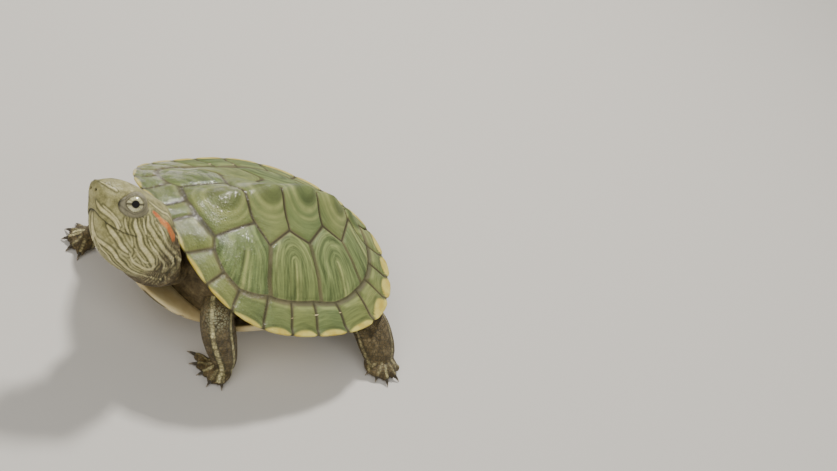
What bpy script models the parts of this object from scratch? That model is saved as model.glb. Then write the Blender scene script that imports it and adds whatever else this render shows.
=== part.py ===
"""Young red-eared slider turtle, life size, standing with its head raised and turned a little.

The shell is a carapace and a plastron whose bridges rise to meet it. The soft body is modelled whole,
as trunk, neck and head, four legs with five-toed feet, and a tail, and is then parted with thin cuts.
The turtle looks along -Y, its left side is +X, and its soles rest on z = 0.
"""
import math

import bmesh
import bpy
import numpy as np
from mathutils import Matrix, Vector

MM = 0.001
GAP = 0.3                          # clearance between neighbouring parts, mm
CENTRE_X = 1.02                    # the middle of the whole animal's box, from below the shell's centre, mm
CENTRE_Y = -4.09

# Shell, in its own frame: x to the turtle's left, y to the tail, z up from the shell's centre; mm.
SHELL_PITCH = math.radians(11.0)   # nose up
SHELL_HEIGHT = 24.75               # the shell's centre above the ground
RIM_RADIUS = (42.4, -2.6, 3.4, 0.15, -0.85)   # cosine series over the bearing, 0 at the head
RIM_HEIGHT = (-0.1, 0.35, 4.2, 1.05, 0.75)
NUCHAL_LIFT = 1.6                  # the rim arches over the neck
DOME_HEIGHT = 14.1
DOME_POWER = (2.06, 0.45, 0.26)    # how full the dome is, as a cosine series over the bearing
DOME_EDGE = 1.14
CREST_HEIGHT = 4.6                 # the young shell rises to a ridge along its middle
CREST_MIDDLE = 3.0
CREST_HALF_LENGTH = 38.0
CREST_HALF_WIDTH = 6.3
CREST_FADE = 1.3                   # powers that shape it along and across
CREST_FLARE = 1.8
KEEL_HEIGHT = 1.0
KEEL_WIDTH = 5.0
KEEL_KNOBS = (-23.0, -8.5, 6.0, 20.0, 32.0)   # a low knob near the rear of each vertebral scute
KNOB_HEIGHT = 0.9
KNOB_LENGTH = 4.2
GUTTER_DEPTH = 1.2                 # shallow gutter where the marginal scutes begin
GUTTER_PLACE = 0.74
GUTTER_WIDTH = 0.09
MARGINAL_SEAMS = (4.2, 17.7, 31.3, 44.9, 60.8, 76.4, 90.9, 108.2, 125.9, 142.0, 154.2, 165.8, 180.0)
NOTCH_DEPTH = 0.35                 # at the front; the rear rim is more toothed
REAR_NOTCH_DEPTH = 1.1
SHELL_WALL = 2.0
CARAPACE_RINGS = (0.09, 0.21, 0.38, 0.57, 0.75, 0.87, 1.0)

# Plastron, in the shell's frame.
PLASTRON_LEVEL = -17.9
PLASTRON_FRONT = -40.5
PLASTRON_REAR = 41.0
LOBE_HALF_WIDTH = 21.0
BRIDGE_FRONT = -16.5
BRIDGE_REAR = 17.0
BRIDGE_HALF_WIDTH = 32.6
BRIDGE_STEP = 3.2                  # length over which a lobe widens into the bridge
PLASTRON_WALL = 2.0
PLASTRON_UPTURN = 1.6              # both lobes lift a little at their ends
UPTURN_START = 24.0                # how far along each lobe the lift begins, and over what length
UPTURN_LENGTH = 16.0
LOBE_FULLNESS = 3.2                # power that squares the lobes' outline
BRIDGE_BEND = 0.6                  # share of the bridge's half width where it starts to curve up
BRIDGE_CURVE = 1.7
BRIDGE_CLEARANCE = 0.8             # between the bridge's top and the carapace
PLASTRON_ROWS = 22
PLASTRON_COLUMNS = 10

# Trunk, between the two shells.
TRUNK_REACH = 0.84                 # share of the rim's radius
TRUNK_BRIDGE_REACH = 22.8          # less where the bridges stand
TRUNK_BRIDGE_LENGTH = 14.0
TRUNK_BRIDGE_FADE = 6.0
TRUNK_TOP_CLEARANCE = 0.8
TRUNK_LOW_CLEARANCE = 1.7
TRUNK_TOP_RINGS = (0.11, 0.26, 0.62, 1.0)                 # shares of its reach
TRUNK_LOW_RINGS = ((0.97, 0.5), (0.86, 1.0), (0.5, 1.0))  # share of its reach, share of its depth
TRUNK_COLUMNS = 32

# Head, along its own axes: forward, up and to its left; mm.
HEAD_CENTRE = (3.4, -59.2, 49.5)   # midway between the eyes
HEAD_YAW = math.radians(-15.0)
HEAD_PITCH = math.radians(26.0)
HEAD_ROLL = math.radians(36.0)
# forward, half width, middle, top, bottom
HEAD_SECTIONS = (
    (9.7, 1.4, 2.0, 2.7, 1.3),
    (9.35, 2.1, 1.7, 3.3, 0.2),
    (8.6, 2.7, 0.8, 3.8, -1.4),
    (7.1, 3.3, -0.4, 4.6, -4.1),
    (5.6, 4.0, -1.2, 5.2, -6.6),
    (3.8, 4.9, -2.0, 5.8, -9.0),
    (1.5, 5.8, -2.8, 6.3, -11.2),
    (-1.2, 6.7, -3.5, 6.5, -13.0),
    (-4.6, 7.7, -4.1, 6.5, -14.4),
    (-8.7, 8.7, -4.5, 6.2, -15.1),
    (-12.7, 9.4, -4.8, 5.3, -15.2),
)
EYE_PLACE = (4.4, -1.1, 1.5)       # left, forward, up
EYE_RADIUS = 3.2
LID_PLACE = (4.2, -1.1, 1.4)       # the lids are a low mound round the eye
LID_SIZES = (3.4, 4.3, 3.5)
LID_TILT = math.radians(22.0)      # its rear corner is the higher one
MOUTH_TIP = (8.0, -4.9)            # forward, up
MOUTH_CORNER = (-4.4, -6.0)
JAW_CUT_REACH = 13.0               # how far ahead, and to each side, the jaw's cut runs
JAW_CUT_HALF_WIDTH = 12.0
JAW_CUT_END = (-4.0, -12.0)        # from the mouth's corner
NECK_PLACES = ((8.4, -47.1, 33.8), (5.4, -42.2, 28.0), (3.2, -35.8, 25.2), (1.0, -27.0, 24.0))
NECK_HALF_WIDTHS = (10.0, 8.8, 9.0, 10.4)
NECK_HALF_HEIGHTS = (8.1, 6.2, 6.2, 6.6)

# Legs, in the ground's frame; mm. Paths run from inside the trunk to the wrist or ankle.
FORELEG_LEFT = ((12.0, -19.0, 22.0), (18.5, -24.0, 22.5), (24.2, -27.0, 18.8), (27.2, -24.8, 12.5),
                (29.1, -22.2, 7.0), (30.0, -21.4, 3.6))
FORELEG_RIGHT = ((-12.0, -19.0, 22.0), (-17.5, -25.0, 22.5), (-22.3, -30.4, 18.8), (-25.2, -33.4, 12.5),
                 (-26.8, -35.2, 7.0), (-27.6, -36.1, 3.6))
FORELEG_WIDTHS = (9.0, 9.8, 10.6, 10.2, 7.8, 6.2)
FORELEG_DEPTHS = (8.5, 8.5, 7.8, 6.8, 5.4, 4.2)
HINDLEG_LEFT = ((14.0, 21.0, 12.5), (22.0, 26.0, 13.0), (30.2, 29.4, 11.5), (35.2, 30.8, 8.2),
                (38.4, 31.9, 5.2), (40.4, 32.6, 2.8))
HINDLEG_RIGHT = ((-14.0, 21.0, 12.5), (-21.5, 27.5, 13.0), (-28.8, 33.6, 11.5), (-33.0, 37.4, 8.2),
                 (-35.5, 39.8, 5.2), (-37.2, 41.4, 2.8))
HINDLEG_WIDTHS = (11.5, 12.8, 13.4, 13.4, 12.0, 9.6)
HINDLEG_DEPTHS = (9.0, 8.6, 7.8, 6.8, 5.2, 3.4)
TAIL = ((0.0, 32.0, 11.0), (0.4, 40.0, 10.6), (-0.4, 46.0, 8.6), (-2.6, 51.0, 6.0), (-6.2, 55.4, 3.6),
        (-10.0, 58.6, 1.9))
TAIL_RADII = (5.6, 5.0, 3.7, 2.4, 1.5, 0.8)

# Feet: the middle of the palm, its half length, half width and half height, and where the claws end.
FOREFOOT_LEFT = (29.4, -22.7, 1.9)
FORECLAWS_LEFT = ((18.9, -27.0), (23.4, -29.0), (28.0, -29.0), (32.8, -28.3), (35.2, -24.2))
FOREFOOT_RIGHT = (-27.8, -37.6, 1.9)
FORECLAWS_RIGHT = ((-21.4, -43.2), (-25.8, -44.8), (-30.6, -44.0), (-34.4, -40.8), (-36.2, -36.2))
FORE_PALM = (3.9, 4.9, 2.5)
HINDFOOT_LEFT = (39.8, 32.2, 1.9)
HINDCLAWS_LEFT = ((41.6, 26.0), (45.0, 27.8), (47.65, 31.2), (46.9, 36.4), (43.6, 41.0))
HINDFOOT_RIGHT = (-36.8, 41.2, 1.9)
HINDCLAWS_RIGHT = ((-44.0, 37.8), (-45.6, 42.8), (-44.4, 47.6), (-40.6, 50.4), (-35.8, 50.2))
HIND_PALM = (4.8, 6.0, 2.5)
TOE_RADIUS = 1.35
CLAW_RADIUS = 0.62
CLAW_TIP_RADIUS = 0.3
CLAW_SHARE = 0.42                  # share of the toe's length that is claw
PALM_ROUNDING = 1.42               # how far the palm's rings run to its ends
PALM_RISE = 0.35                   # the palm is higher at the wrist and wider at the toes
PALM_SPREAD = 0.18
TOE_ROOT_SHARE = 0.2               # places along a toe, as shares of its length
KNUCKLE_SHARE = 0.42
CLAW_OVERLAP = 0.62
CLAW_ROOT_SHARE = 0.12
KNUCKLE_LIFT = 0.25
CLAW_LIFT = 0.15
FORE_CLAWS = 5                     # how many of a foot's five toes end in a claw
HIND_CLAWS = 4
TOE_SINK = 0.1                     # the toes press into the ground a little
TOE_TAPER = (1.0, 1.05, 0.95)

# How finely the soft body is divided.
HEAD_RINGS = 15
HEAD_SIDES = 16
HEAD_SQUARENESS = 0.9
FORELEG_RINGS = 10
HINDLEG_RINGS = 9
TAIL_RINGS = 10
LEG_SIDES = 14
TAIL_SIDES = 10
PALM_RINGS = 7
PALM_SIDES = 12
TOE_SIDES = 6
STEEPEST = 2.2                     # limit of the wall's vertical reach on a slope

# Cuts that part the flesh: a place, the direction square to the cut, and the cut's radius.
HEAD_CUT = (-13.6, -4.5, 16.0)     # forward, up, radius
CUTS = {
    "neck_cut": ((6.4, -39.6, 30.2), (0.3, -0.8, 0.52), 14.0),
    "foreleg_left_cut": ((25.2, -27.2, 17.6), (0.45, 0.15, -0.88), 7.0),
    "foreleg_right_cut": ((-22.9, -31.1, 17.6), (-0.40, -0.42, -0.81), 7.0),
    "hindleg_left_cut": ((31.2, 29.9, 10.7), (0.84, 0.28, -0.46), 8.6),
    "hindleg_right_cut": ((-29.6, 34.5, 10.7), (-0.68, 0.56, -0.46), 8.6),
    "forefoot_left_cut": ((29.5, -21.9, 5.6), (0.15, 0.2, -0.97), 6.0),
    "forefoot_right_cut": ((-27.1, -35.5, 5.6), (-0.2, -0.3, -0.93), 6.0),
    "hindfoot_left_cut": ((37.6, 31.6, 5.9), (0.72, 0.2, -0.66), 8.0),
    "hindfoot_right_cut": ((-34.9, 39.2, 5.9), (-0.6, 0.6, -0.6), 8.0),
    "tail_cut": ((-0.2, 45.2, 9.0), (-0.1, 0.9, -0.4), 6.0),
}
GROUND_SIZE = 200.0                # block that flattens the soles

# Roughly where the middle of each parted piece lies, to tell them apart.
HEAD_MIDDLE = (-3.0, 0.0)          # forward, up
JAW_MIDDLE = (-1.0, -9.0)
MIDDLES = {
    "trunk": (0.0, 2.0, 22.0),
    "neck": (9.0, -45.0, 35.5),
    "foreleg_left": (28.0, -25.5, 12.0),
    "foreleg_right": (-25.5, -34.5, 12.0),
    "hindleg_left": (34.0, 30.5, 8.5),
    "hindleg_right": (-32.0, 36.5, 8.5),
    "forefoot_left": (28.5, -26.0, 2.0),
    "forefoot_right": (-29.0, -41.0, 2.0),
    "hindfoot_left": (43.0, 33.0, 2.0),
    "hindfoot_right": (-39.5, 44.0, 2.0),
    "tail": (-4.0, 52.0, 5.0),
}

COLOURS = {
    "carapace": (0.22, 0.24, 0.09),
    "plastron": (0.62, 0.52, 0.24),
    "trunk": (0.10, 0.10, 0.06),
    "neck": (0.20, 0.22, 0.12),
    "head": (0.26, 0.28, 0.14),
    "lower_jaw": (0.34, 0.34, 0.18),
    "eye": (0.45, 0.42, 0.24),
    "leg": (0.12, 0.12, 0.07),
    "foot": (0.14, 0.13, 0.08),
    "tail": (0.13, 0.13, 0.07),
}


def new_collection(name):
    """Add a collection to the scene."""
    group = bpy.data.collections.new(name)
    bpy.context.scene.collection.children.link(group)
    return group


def material(name, colour, roughness=0.5):
    """Plain Principled material for one part."""
    made = bpy.data.materials.new(name)
    made.use_nodes = True
    shader = made.node_tree.nodes["Principled BSDF"]
    shader.inputs["Base Color"].default_value = (*colour, 1.0)
    shader.inputs["Roughness"].default_value = roughness
    shader.inputs["Metallic"].default_value = 0.0
    return made


def series(terms, bearing):
    """Sum of terms[k] * cos(k * bearing)."""
    return sum(term * np.cos(k * bearing) for k, term in enumerate(terms))


def notch(bearing):
    """Fall of the rim at each seam between marginal scutes, deepest at the rear."""
    seams = np.radians(MARGINAL_SEAMS)
    distance = np.min(np.abs(np.abs(bearing)[..., None] - seams), axis=-1)
    depth = NOTCH_DEPTH + (REAR_NOTCH_DEPTH - NOTCH_DEPTH) * np.clip((np.abs(bearing) - 2.0) / 0.7, 0, 1)
    return depth * np.exp(-(distance / math.radians(1.6)) ** 2)


def rim_radius(bearing):
    """Distance of the rim from the shell's centre, in plan."""
    return series(RIM_RADIUS, bearing)


def rim_height(bearing):
    """Height of the rim: a saddle, low at the sides, with a lift over the neck."""
    turned = np.arctan2(np.sin(bearing), np.cos(bearing))
    return series(RIM_HEIGHT, bearing) + NUCHAL_LIFT * np.exp(-(turned / 0.28) ** 2)


def dome(x, y):
    """Height of the carapace's outer surface at a place in plan, in the shell's frame."""
    bearing = np.arctan2(x, -y)
    reach = np.clip(np.hypot(x, y) / rim_radius(bearing), 0, 1)
    rim = rim_height(bearing)
    fullness = (1 - reach ** series(DOME_POWER, bearing)) ** DOME_EDGE
    keel = KEEL_HEIGHT * np.exp(-(x / KEEL_WIDTH) ** 2) * (1 - reach ** 2)
    knobs = sum(np.exp(-((y - place) / KNOB_LENGTH) ** 2) for place in KEEL_KNOBS)
    keel = keel + KNOB_HEIGHT * knobs * np.exp(-(x / (0.7 * KEEL_WIDTH)) ** 2) * (1 - reach ** 4)
    gutter = GUTTER_DEPTH * np.exp(-((reach - GUTTER_PLACE) / GUTTER_WIDTH) ** 2)
    crest = np.clip(1 - ((y - CREST_MIDDLE) / CREST_HALF_LENGTH) ** 2, 0, 1) ** CREST_FADE
    crest = CREST_HEIGHT * crest * np.exp(-np.abs(x / CREST_HALF_WIDTH) ** CREST_FLARE)
    return rim + (DOME_HEIGHT - rim) * fullness + keel + crest - gutter * np.sin(bearing) ** 2


def lobe_half_width(y):
    """Half width of the plastron with its bridges, along the shell."""
    along = (y - PLASTRON_FRONT) / (PLASTRON_REAR - PLASTRON_FRONT)
    lobe = LOBE_HALF_WIDTH * np.sqrt(np.clip(1 - np.abs(2 * along - 1) ** LOBE_FULLNESS, 0, 1))
    inside = 1 / (1 + np.exp(-(y - BRIDGE_FRONT) / BRIDGE_STEP * 3.0))
    inside = inside / (1 + np.exp((y - BRIDGE_REAR) / BRIDGE_STEP * 3.0))
    return lobe + (BRIDGE_HALF_WIDTH - lobe) * inside


def plastron_height(x, y):
    """Height of the plastron's underside: flat, with upturned ends and bridges that curve up."""
    edge = np.maximum(np.abs(x) / BRIDGE_HALF_WIDTH, BRIDGE_BEND)
    climb = ((edge - BRIDGE_BEND) / (1 - BRIDGE_BEND)) ** BRIDGE_CURVE
    x_edge = BRIDGE_HALF_WIDTH * np.where(x < 0, -1.0, 1.0)
    top = dome(x_edge, y) - SHELL_WALL * slope_factor(dome, x_edge, y) - BRIDGE_CLEARANCE
    ends = np.clip((np.abs(y) - UPTURN_START) / UPTURN_LENGTH, 0, 1) ** 2 * PLASTRON_UPTURN
    return PLASTRON_LEVEL + ends + climb * (top - PLASTRON_LEVEL)


def slope_factor(surface, x, y, step=0.5):
    """Vertical reach of one unit of thickness measured square to a height field."""
    along_x = (surface(x + step, y) - surface(x - step, y)) / (2 * step)
    along_y = (surface(x, y + step) - surface(x, y - step)) / (2 * step)
    return np.clip(np.sqrt(1 + along_x ** 2 + along_y ** 2), 1, STEEPEST)


def shell_to_ground(points):
    """Turn points of the shell's frame nose up and lift them to their height over the ground."""
    x, y, z = np.moveaxis(np.asarray(points, dtype=float), -1, 0)
    cos, sin = math.cos(SHELL_PITCH), math.sin(SHELL_PITCH)
    return np.stack([x, y * cos + z * sin, -y * sin + z * cos + SHELL_HEIGHT], axis=-1)


def head_axes():
    """Unit vectors of the head: to its left, forward and up."""
    turn = (Matrix.Rotation(HEAD_YAW, 3, "Z") @ Matrix.Rotation(-HEAD_PITCH, 3, "X")
            @ Matrix.Rotation(-HEAD_ROLL, 3, "Y"))
    return [np.array(turn @ Vector(axis)) for axis in ((1, 0, 0), (0, -1, 0), (0, 0, 1))]


def in_head(left, forward, up):
    """Ground place of a point given along the head's axes."""
    axis_left, axis_forward, axis_up = head_axes()
    return np.array(HEAD_CENTRE) + left * axis_left + forward * axis_forward + up * axis_up


def make_object(name, points, faces, group, parent):
    """Object with the given corners in mm and faces."""
    mesh = bpy.data.meshes.new(name)
    mesh.from_pydata([tuple(MM * float(c) for c in point) for point in points], [], faces)
    mesh.update()
    mesh.shade_smooth()
    made = bpy.data.objects.new(name, mesh)
    group.objects.link(made)
    made.parent = parent
    return made


def polar_faces(columns, rings):
    """Faces of a disc of rings round a middle point, which comes first."""
    faces = []
    for column in range(columns):
        following = (column + 1) % columns
        faces.append((0, 1 + column, 1 + following))
        for ring in range(rings - 1):
            inner = 1 + ring * columns
            outer = inner + columns
            faces.append((inner + column, outer + column, outer + following, inner + following))
    return faces


def loft(name, rings, group, parent):
    """Closed body through rings of equal point counts, with a flat cap at each end."""
    rings = np.asarray(rings)
    count, sides = rings.shape[:2]
    faces = []
    for ring in range(count - 1):
        for side in range(sides):
            following = (side + 1) % sides
            low, high = ring * sides, (ring + 1) * sides
            faces.append((low + side, low + following, high + following, high + side))
    faces.append(tuple(reversed(range(sides))))
    faces.append(tuple((count - 1) * sides + side for side in range(sides)))
    made = make_object(name, rings.reshape(-1, 3), faces, group, parent)
    shape = bmesh.new()
    shape.from_mesh(made.data)
    bmesh.ops.recalc_face_normals(shape, faces=shape.faces)
    shape.to_mesh(made.data)
    shape.free()
    return made


def oval(centre, side, up, half_width, top, bottom, count, squareness=1.0):
    """Ring round a centre: a superellipse whose upper and lower halves differ in height."""
    angle = 2 * math.pi * (np.arange(count) + 0.5) / count
    across = np.sign(np.cos(angle)) * np.abs(np.cos(angle)) ** squareness
    along = np.sign(np.sin(angle)) * np.abs(np.sin(angle)) ** squareness
    height = np.where(along > 0, top, bottom) * np.abs(along) * np.sign(along)
    return np.array(centre) + np.outer(across * half_width, side) + np.outer(height, up)


def smooth_path(places, samples):
    """Points along a Catmull-Rom curve through the places, with the shares of each column kept."""
    places = np.asarray(places, dtype=float)
    padded = np.vstack([2 * places[0] - places[1], places, 2 * places[-1] - places[-2]])
    spot = np.linspace(0, len(places) - 1 - 1e-6, samples)
    start = spot.astype(int)
    share = (spot - start)[:, None]
    p0, p1, p2, p3 = (padded[start + k] for k in range(4))
    return 0.5 * (2 * p1 + (p2 - p0) * share + (2 * p0 - 5 * p1 + 4 * p2 - p3) * share ** 2
                  + (3 * p1 - p0 - 3 * p2 + p3) * share ** 3)


def limb(name, places, widths, depths, samples, sides, group, parent, broad=(0.0, 1.0, 0.0)):
    """Limb of oval section along a smooth path; its width lies along the broad direction."""
    table = smooth_path(np.column_stack([places, widths, depths]), samples)
    path = table[:, :3]
    tangent = np.gradient(path, axis=0)
    tangent /= np.linalg.norm(tangent, axis=1)[:, None]
    rings = []
    for centre, along, width, depth in zip(path, tangent, table[:, 3], table[:, 4]):
        side = np.array(broad) - along * np.dot(broad, along)
        side /= np.linalg.norm(side)
        rings.append(oval(centre, side, np.cross(along, side), width / 2, depth / 2, depth / 2, sides))
    return loft(name, rings, group, parent)


def add_boolean(target, tool, operation):
    """Join the tool to the target, or cut it away; the exact solver loses the trunk in this chain."""
    step = target.modifiers.new(f"{operation.lower()} {tool.name}", "BOOLEAN")
    step.operation = operation
    step.solver = "MANIFOLD"
    step.object = tool


def apply_modifiers(target):
    """Make the object's evaluated shape its own mesh."""
    bpy.context.view_layer.update()
    graph = bpy.context.evaluated_depsgraph_get()
    mesh = bpy.data.meshes.new_from_object(target.evaluated_get(graph))
    target.modifiers.clear()
    target.data = mesh


def as_cutter(target):
    """Keep an object as a tool only."""
    target.hide_render = True
    target.display_type = "WIRE"
    return target


def disc_cutter(name, centre, normal, radius, group, parent):
    """Thin round slab, as thick as the clearance, that parts the soft body."""
    bpy.ops.mesh.primitive_cylinder_add(vertices=24, radius=radius * MM, depth=GAP * MM)
    made = bpy.context.active_object
    made.name = name
    for holder in list(made.users_collection):
        holder.objects.unlink(made)
    group.objects.link(made)
    made.parent = parent
    made.location = Vector(centre) * MM
    made.rotation_euler = Vector(normal).to_track_quat("Z", "Y").to_euler()
    return as_cutter(made)


def ball(name, centre, radius, group, parent, segments=14, rings=8):
    """Sphere."""
    bpy.ops.mesh.primitive_uv_sphere_add(segments=segments, ring_count=rings, radius=radius * MM)
    made = bpy.context.active_object
    made.name = name
    made.data.name = name
    made.data.shade_smooth()
    for holder in list(made.users_collection):
        holder.objects.unlink(made)
    group.objects.link(made)
    made.parent = parent
    made.location = Vector(centre) * MM
    return made


def build_carapace(group, stance):
    """Domed upper shell: a surface over a toothed saddle rim, given its wall inwards."""
    bearings = []
    seams = np.radians(MARGINAL_SEAMS)
    for start, end in zip(seams[:-1], seams[1:]):
        bearings.extend(start + (end - start) * np.array([0.0, 0.33, 0.67]))
    half = np.array(bearings + [math.pi])
    bearing = np.concatenate([half, -half[1:-1][::-1], [-half[0]]])
    reach = np.array(CARAPACE_RINGS)[:, None]
    radius = reach * (rim_radius(bearing) - notch(bearing) * np.clip((reach - 0.8) / 0.2, 0, 1))
    x, y = radius * np.sin(bearing), -radius * np.cos(bearing)
    ring_points = np.stack([x, y, dome(x, y)], axis=-1).reshape(-1, 3)
    middle = np.array([[0.0, 0.0, float(dome(np.array(0.0), np.array(1e-6)))]])
    faces = polar_faces(len(bearing), len(CARAPACE_RINGS))
    made = make_object("carapace", np.vstack([middle, ring_points]), faces, group, stance)
    wall = made.modifiers.new("wall", "SOLIDIFY")
    wall.thickness = SHELL_WALL * MM
    wall.offset = -1.0
    made.data.materials.append(material("carapace", COLOURS["carapace"], 0.35))
    return made


def build_plastron(group, stance):
    """Lower shell and its two bridges, one plate bent up at the sides."""
    rows, columns = PLASTRON_ROWS, PLASTRON_COLUMNS
    lean = np.linspace(-1, 1, rows)
    y = (PLASTRON_FRONT + PLASTRON_REAR) / 2 + (PLASTRON_REAR - PLASTRON_FRONT) / 2 * np.sin(lean * 1.555)
    share = np.linspace(-1, 1, columns + 1)
    x = share[None, :] * lobe_half_width(y)[:, None]
    y = np.broadcast_to(y[:, None], x.shape)
    points = np.stack([x, y, plastron_height(x, y)], axis=-1).reshape(-1, 3)
    faces = []
    for row in range(rows - 1):
        for column in range(columns):
            corner = row * (columns + 1) + column
            faces.append((corner, corner + columns + 1, corner + columns + 2, corner + 1))
    made = make_object("plastron", points, faces, group, stance)
    wall = made.modifiers.new("wall", "SOLIDIFY")
    wall.thickness = PLASTRON_WALL * MM
    wall.offset = -1.0
    made.data.materials.append(material("plastron", COLOURS["plastron"], 0.4))
    return made


def build_trunk(group, parent):
    """Body between the two shells, following both at the clearance."""
    columns = TRUNK_COLUMNS
    bearing = 2 * math.pi * (np.arange(columns) + 0.5) / columns
    reach = rim_radius(bearing) * TRUNK_REACH
    past_bridge = np.clip(np.abs(reach * np.cos(bearing)) - TRUNK_BRIDGE_LENGTH, 0, None)
    in_bridge = np.exp(-(past_bridge / TRUNK_BRIDGE_FADE) ** 2)
    between_bridges = np.minimum(reach, TRUNK_BRIDGE_REACH / np.maximum(np.abs(np.sin(bearing)), 0.2))
    reach = reach * (1 - in_bridge) + between_bridges * in_bridge
    top_clear = SHELL_WALL + TRUNK_TOP_CLEARANCE
    low_clear = PLASTRON_WALL + TRUNK_LOW_CLEARANCE
    points = []
    for share, depth in [(share, 0.0) for share in TRUNK_TOP_RINGS] + list(TRUNK_LOW_RINGS):
        x, y = share * reach * np.sin(bearing), -share * reach * np.cos(bearing)
        high = dome(x, y) - top_clear * slope_factor(dome, x, y)
        low = plastron_height(x, y) + low_clear * slope_factor(plastron_height, x, y)
        points.append(np.stack([x, y, high + (low - high) * depth], axis=-1))
    top = [[0.0, 0.0, float(dome(np.array(0.0), np.array(1e-6))) - top_clear]]
    low = [[0.0, 0.0, PLASTRON_LEVEL + low_clear]]
    rings = np.array(points)
    everything = shell_to_ground(np.vstack([top, rings.reshape(-1, 3), low]))
    faces = polar_faces(columns, len(rings))
    last = len(everything) - 1
    outer = 1 + (len(rings) - 1) * columns
    for column in range(columns):
        faces.append((last, outer + (column + 1) % columns, outer + column))
    return make_object("trunk", everything, faces, group, parent)


def build_head_and_neck(group, parent):
    """One loft from the snout to inside the trunk, turning from the head's axes to the body's."""
    left, forward, up = head_axes()
    rings = []
    for ahead, half_width, middle, top, bottom in smooth_path(HEAD_SECTIONS, HEAD_RINGS):
        centre = in_head(0.0, ahead, middle)
        rings.append(oval(centre, left, up, half_width, top - middle, middle - bottom, HEAD_SIDES,
                          HEAD_SQUARENESS))
    places = np.array(NECK_PLACES)
    nape = in_head(0.0, HEAD_SECTIONS[-1][0], HEAD_SECTIONS[-1][2])
    headings = np.gradient(np.vstack([nape, places]), axis=0)[1:]
    for number, (place, heading) in enumerate(zip(places, headings)):
        share = min(1.0, 1.5 * (number + 1) / len(places))
        along = heading / np.linalg.norm(heading)
        side = left * (1 - share) + np.array([1.0, 0.0, 0.0]) * share
        side = side - along * np.dot(side, along)
        side /= np.linalg.norm(side)
        width, height = NECK_HALF_WIDTHS[number], NECK_HALF_HEIGHTS[number]
        rings.append(oval(place, side, np.cross(side, along), width, height, height, HEAD_SIDES))
    return loft("head_and_neck", rings, group, parent)


def build_lids(side, sign, group, parent):
    """Mound of the lids, which the eye's socket then hollows."""
    mound = ball(f"lids_{side}", in_head(sign * LID_PLACE[0], *LID_PLACE[1:]), 1.0, group, parent, 12, 7)
    left, forward, up = head_axes()
    turned = Matrix((left, -forward, up)).transposed().to_4x4()
    mound.matrix_local = (Matrix.Translation(mound.location) @ turned
                          @ Matrix.Rotation(LID_TILT, 4, "X") @ Matrix.Diagonal((*LID_SIZES, 1.0)))
    return as_cutter(mound)


def build_foot(name, palm, half_sizes, claws, clawed, tools, parent):
    """Palm with five toes fanned over the ground, the first ones ending in claws."""
    half_length, half_width, half_height = half_sizes
    middle = np.array(palm)
    front = np.mean(np.array(claws), axis=0) - middle[:2]
    ahead = np.array([*(front / np.linalg.norm(front)), 0.0])
    across = np.array([-ahead[1], ahead[0], 0.0])
    rings = []
    for share in np.sin(np.linspace(-1, 1, PALM_RINGS) * PALM_ROUNDING):
        girth = math.sqrt(1 - share ** 2)
        centre = middle + ahead * half_length * share + np.array([0, 0, PALM_RISE * (1 - share)])
        width = half_width * girth * (1 + PALM_SPREAD * share)
        rings.append(oval(centre, across, (0, 0, 1), width, half_height * girth, half_height * girth,
                          PALM_SIDES))
    foot = loft(name, rings, tools, parent)
    for number, tip in enumerate(claws):
        end = np.array([*tip, CLAW_TIP_RADIUS + CLAW_LIFT])
        reach = end - middle
        knuckle = middle + reach * KNUCKLE_SHARE + np.array([0, 0, KNUCKLE_LIFT])
        toe_end = middle + reach * (1 - CLAW_SHARE * CLAW_OVERLAP)
        toe_end[2] = TOE_RADIUS - TOE_SINK
        claw_base = toe_end + (end - toe_end) * CLAW_ROOT_SHARE + np.array([0, 0, CLAW_LIFT])
        path = [middle + reach * TOE_ROOT_SHARE, knuckle, toe_end, claw_base, end]
        radii = [TOE_RADIUS * taper for taper in TOE_TAPER] + [CLAW_RADIUS, CLAW_TIP_RADIUS]
        side = np.cross(reach / np.linalg.norm(reach), (0, 0, 1))
        side /= np.linalg.norm(side)
        rings = [oval(place, side, (0, 0, 1), radius, radius, radius, TOE_SIDES)
                 for place, radius in zip(path, radii)]
        if number >= clawed:
            rings.pop()
        toe = as_cutter(loft(f"{name}_toe_{number}", rings, tools, parent))
        add_boolean(foot, toe, "UNION")
    apply_modifiers(foot)
    return foot


def split_islands(target, anchors, group, parent):
    """Make an object of each loose piece and name it for the anchor that lies nearest its middle."""
    shape = bmesh.new()
    shape.from_mesh(target.data)
    shape.verts.ensure_lookup_table()
    waiting = set(shape.verts)
    islands = []
    while waiting:
        front = [waiting.pop()]
        island = set(front)
        while front:
            corner = front.pop()
            for edge in corner.link_edges:
                other = edge.other_vert(corner)
                if other in waiting:
                    waiting.remove(other)
                    island.add(other)
                    front.append(other)
        islands.append(island)
    islands = sorted(islands, key=len, reverse=True)[:len(anchors)]
    made = {}
    middles = [sum((corner.co for corner in island), Vector()) / len(island) for island in islands]
    pairs = sorted(((middle - Vector(anchor) * MM).length, number, name)
                   for number, middle in enumerate(middles) for name, anchor in anchors.items())
    used = set()
    for _, number, name in pairs:
        if number in used or name in made:
            continue
        used.add(number)
        index = {corner: place for place, corner in enumerate(islands[number])}
        faces = [tuple(index[corner] for corner in face.verts)
                 for face in shape.faces if face.verts[0] in index]
        points = [tuple(corner.co / MM) for corner in index]
        made[name] = make_object(name, points, faces, group, parent)
    shape.free()
    return made


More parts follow.
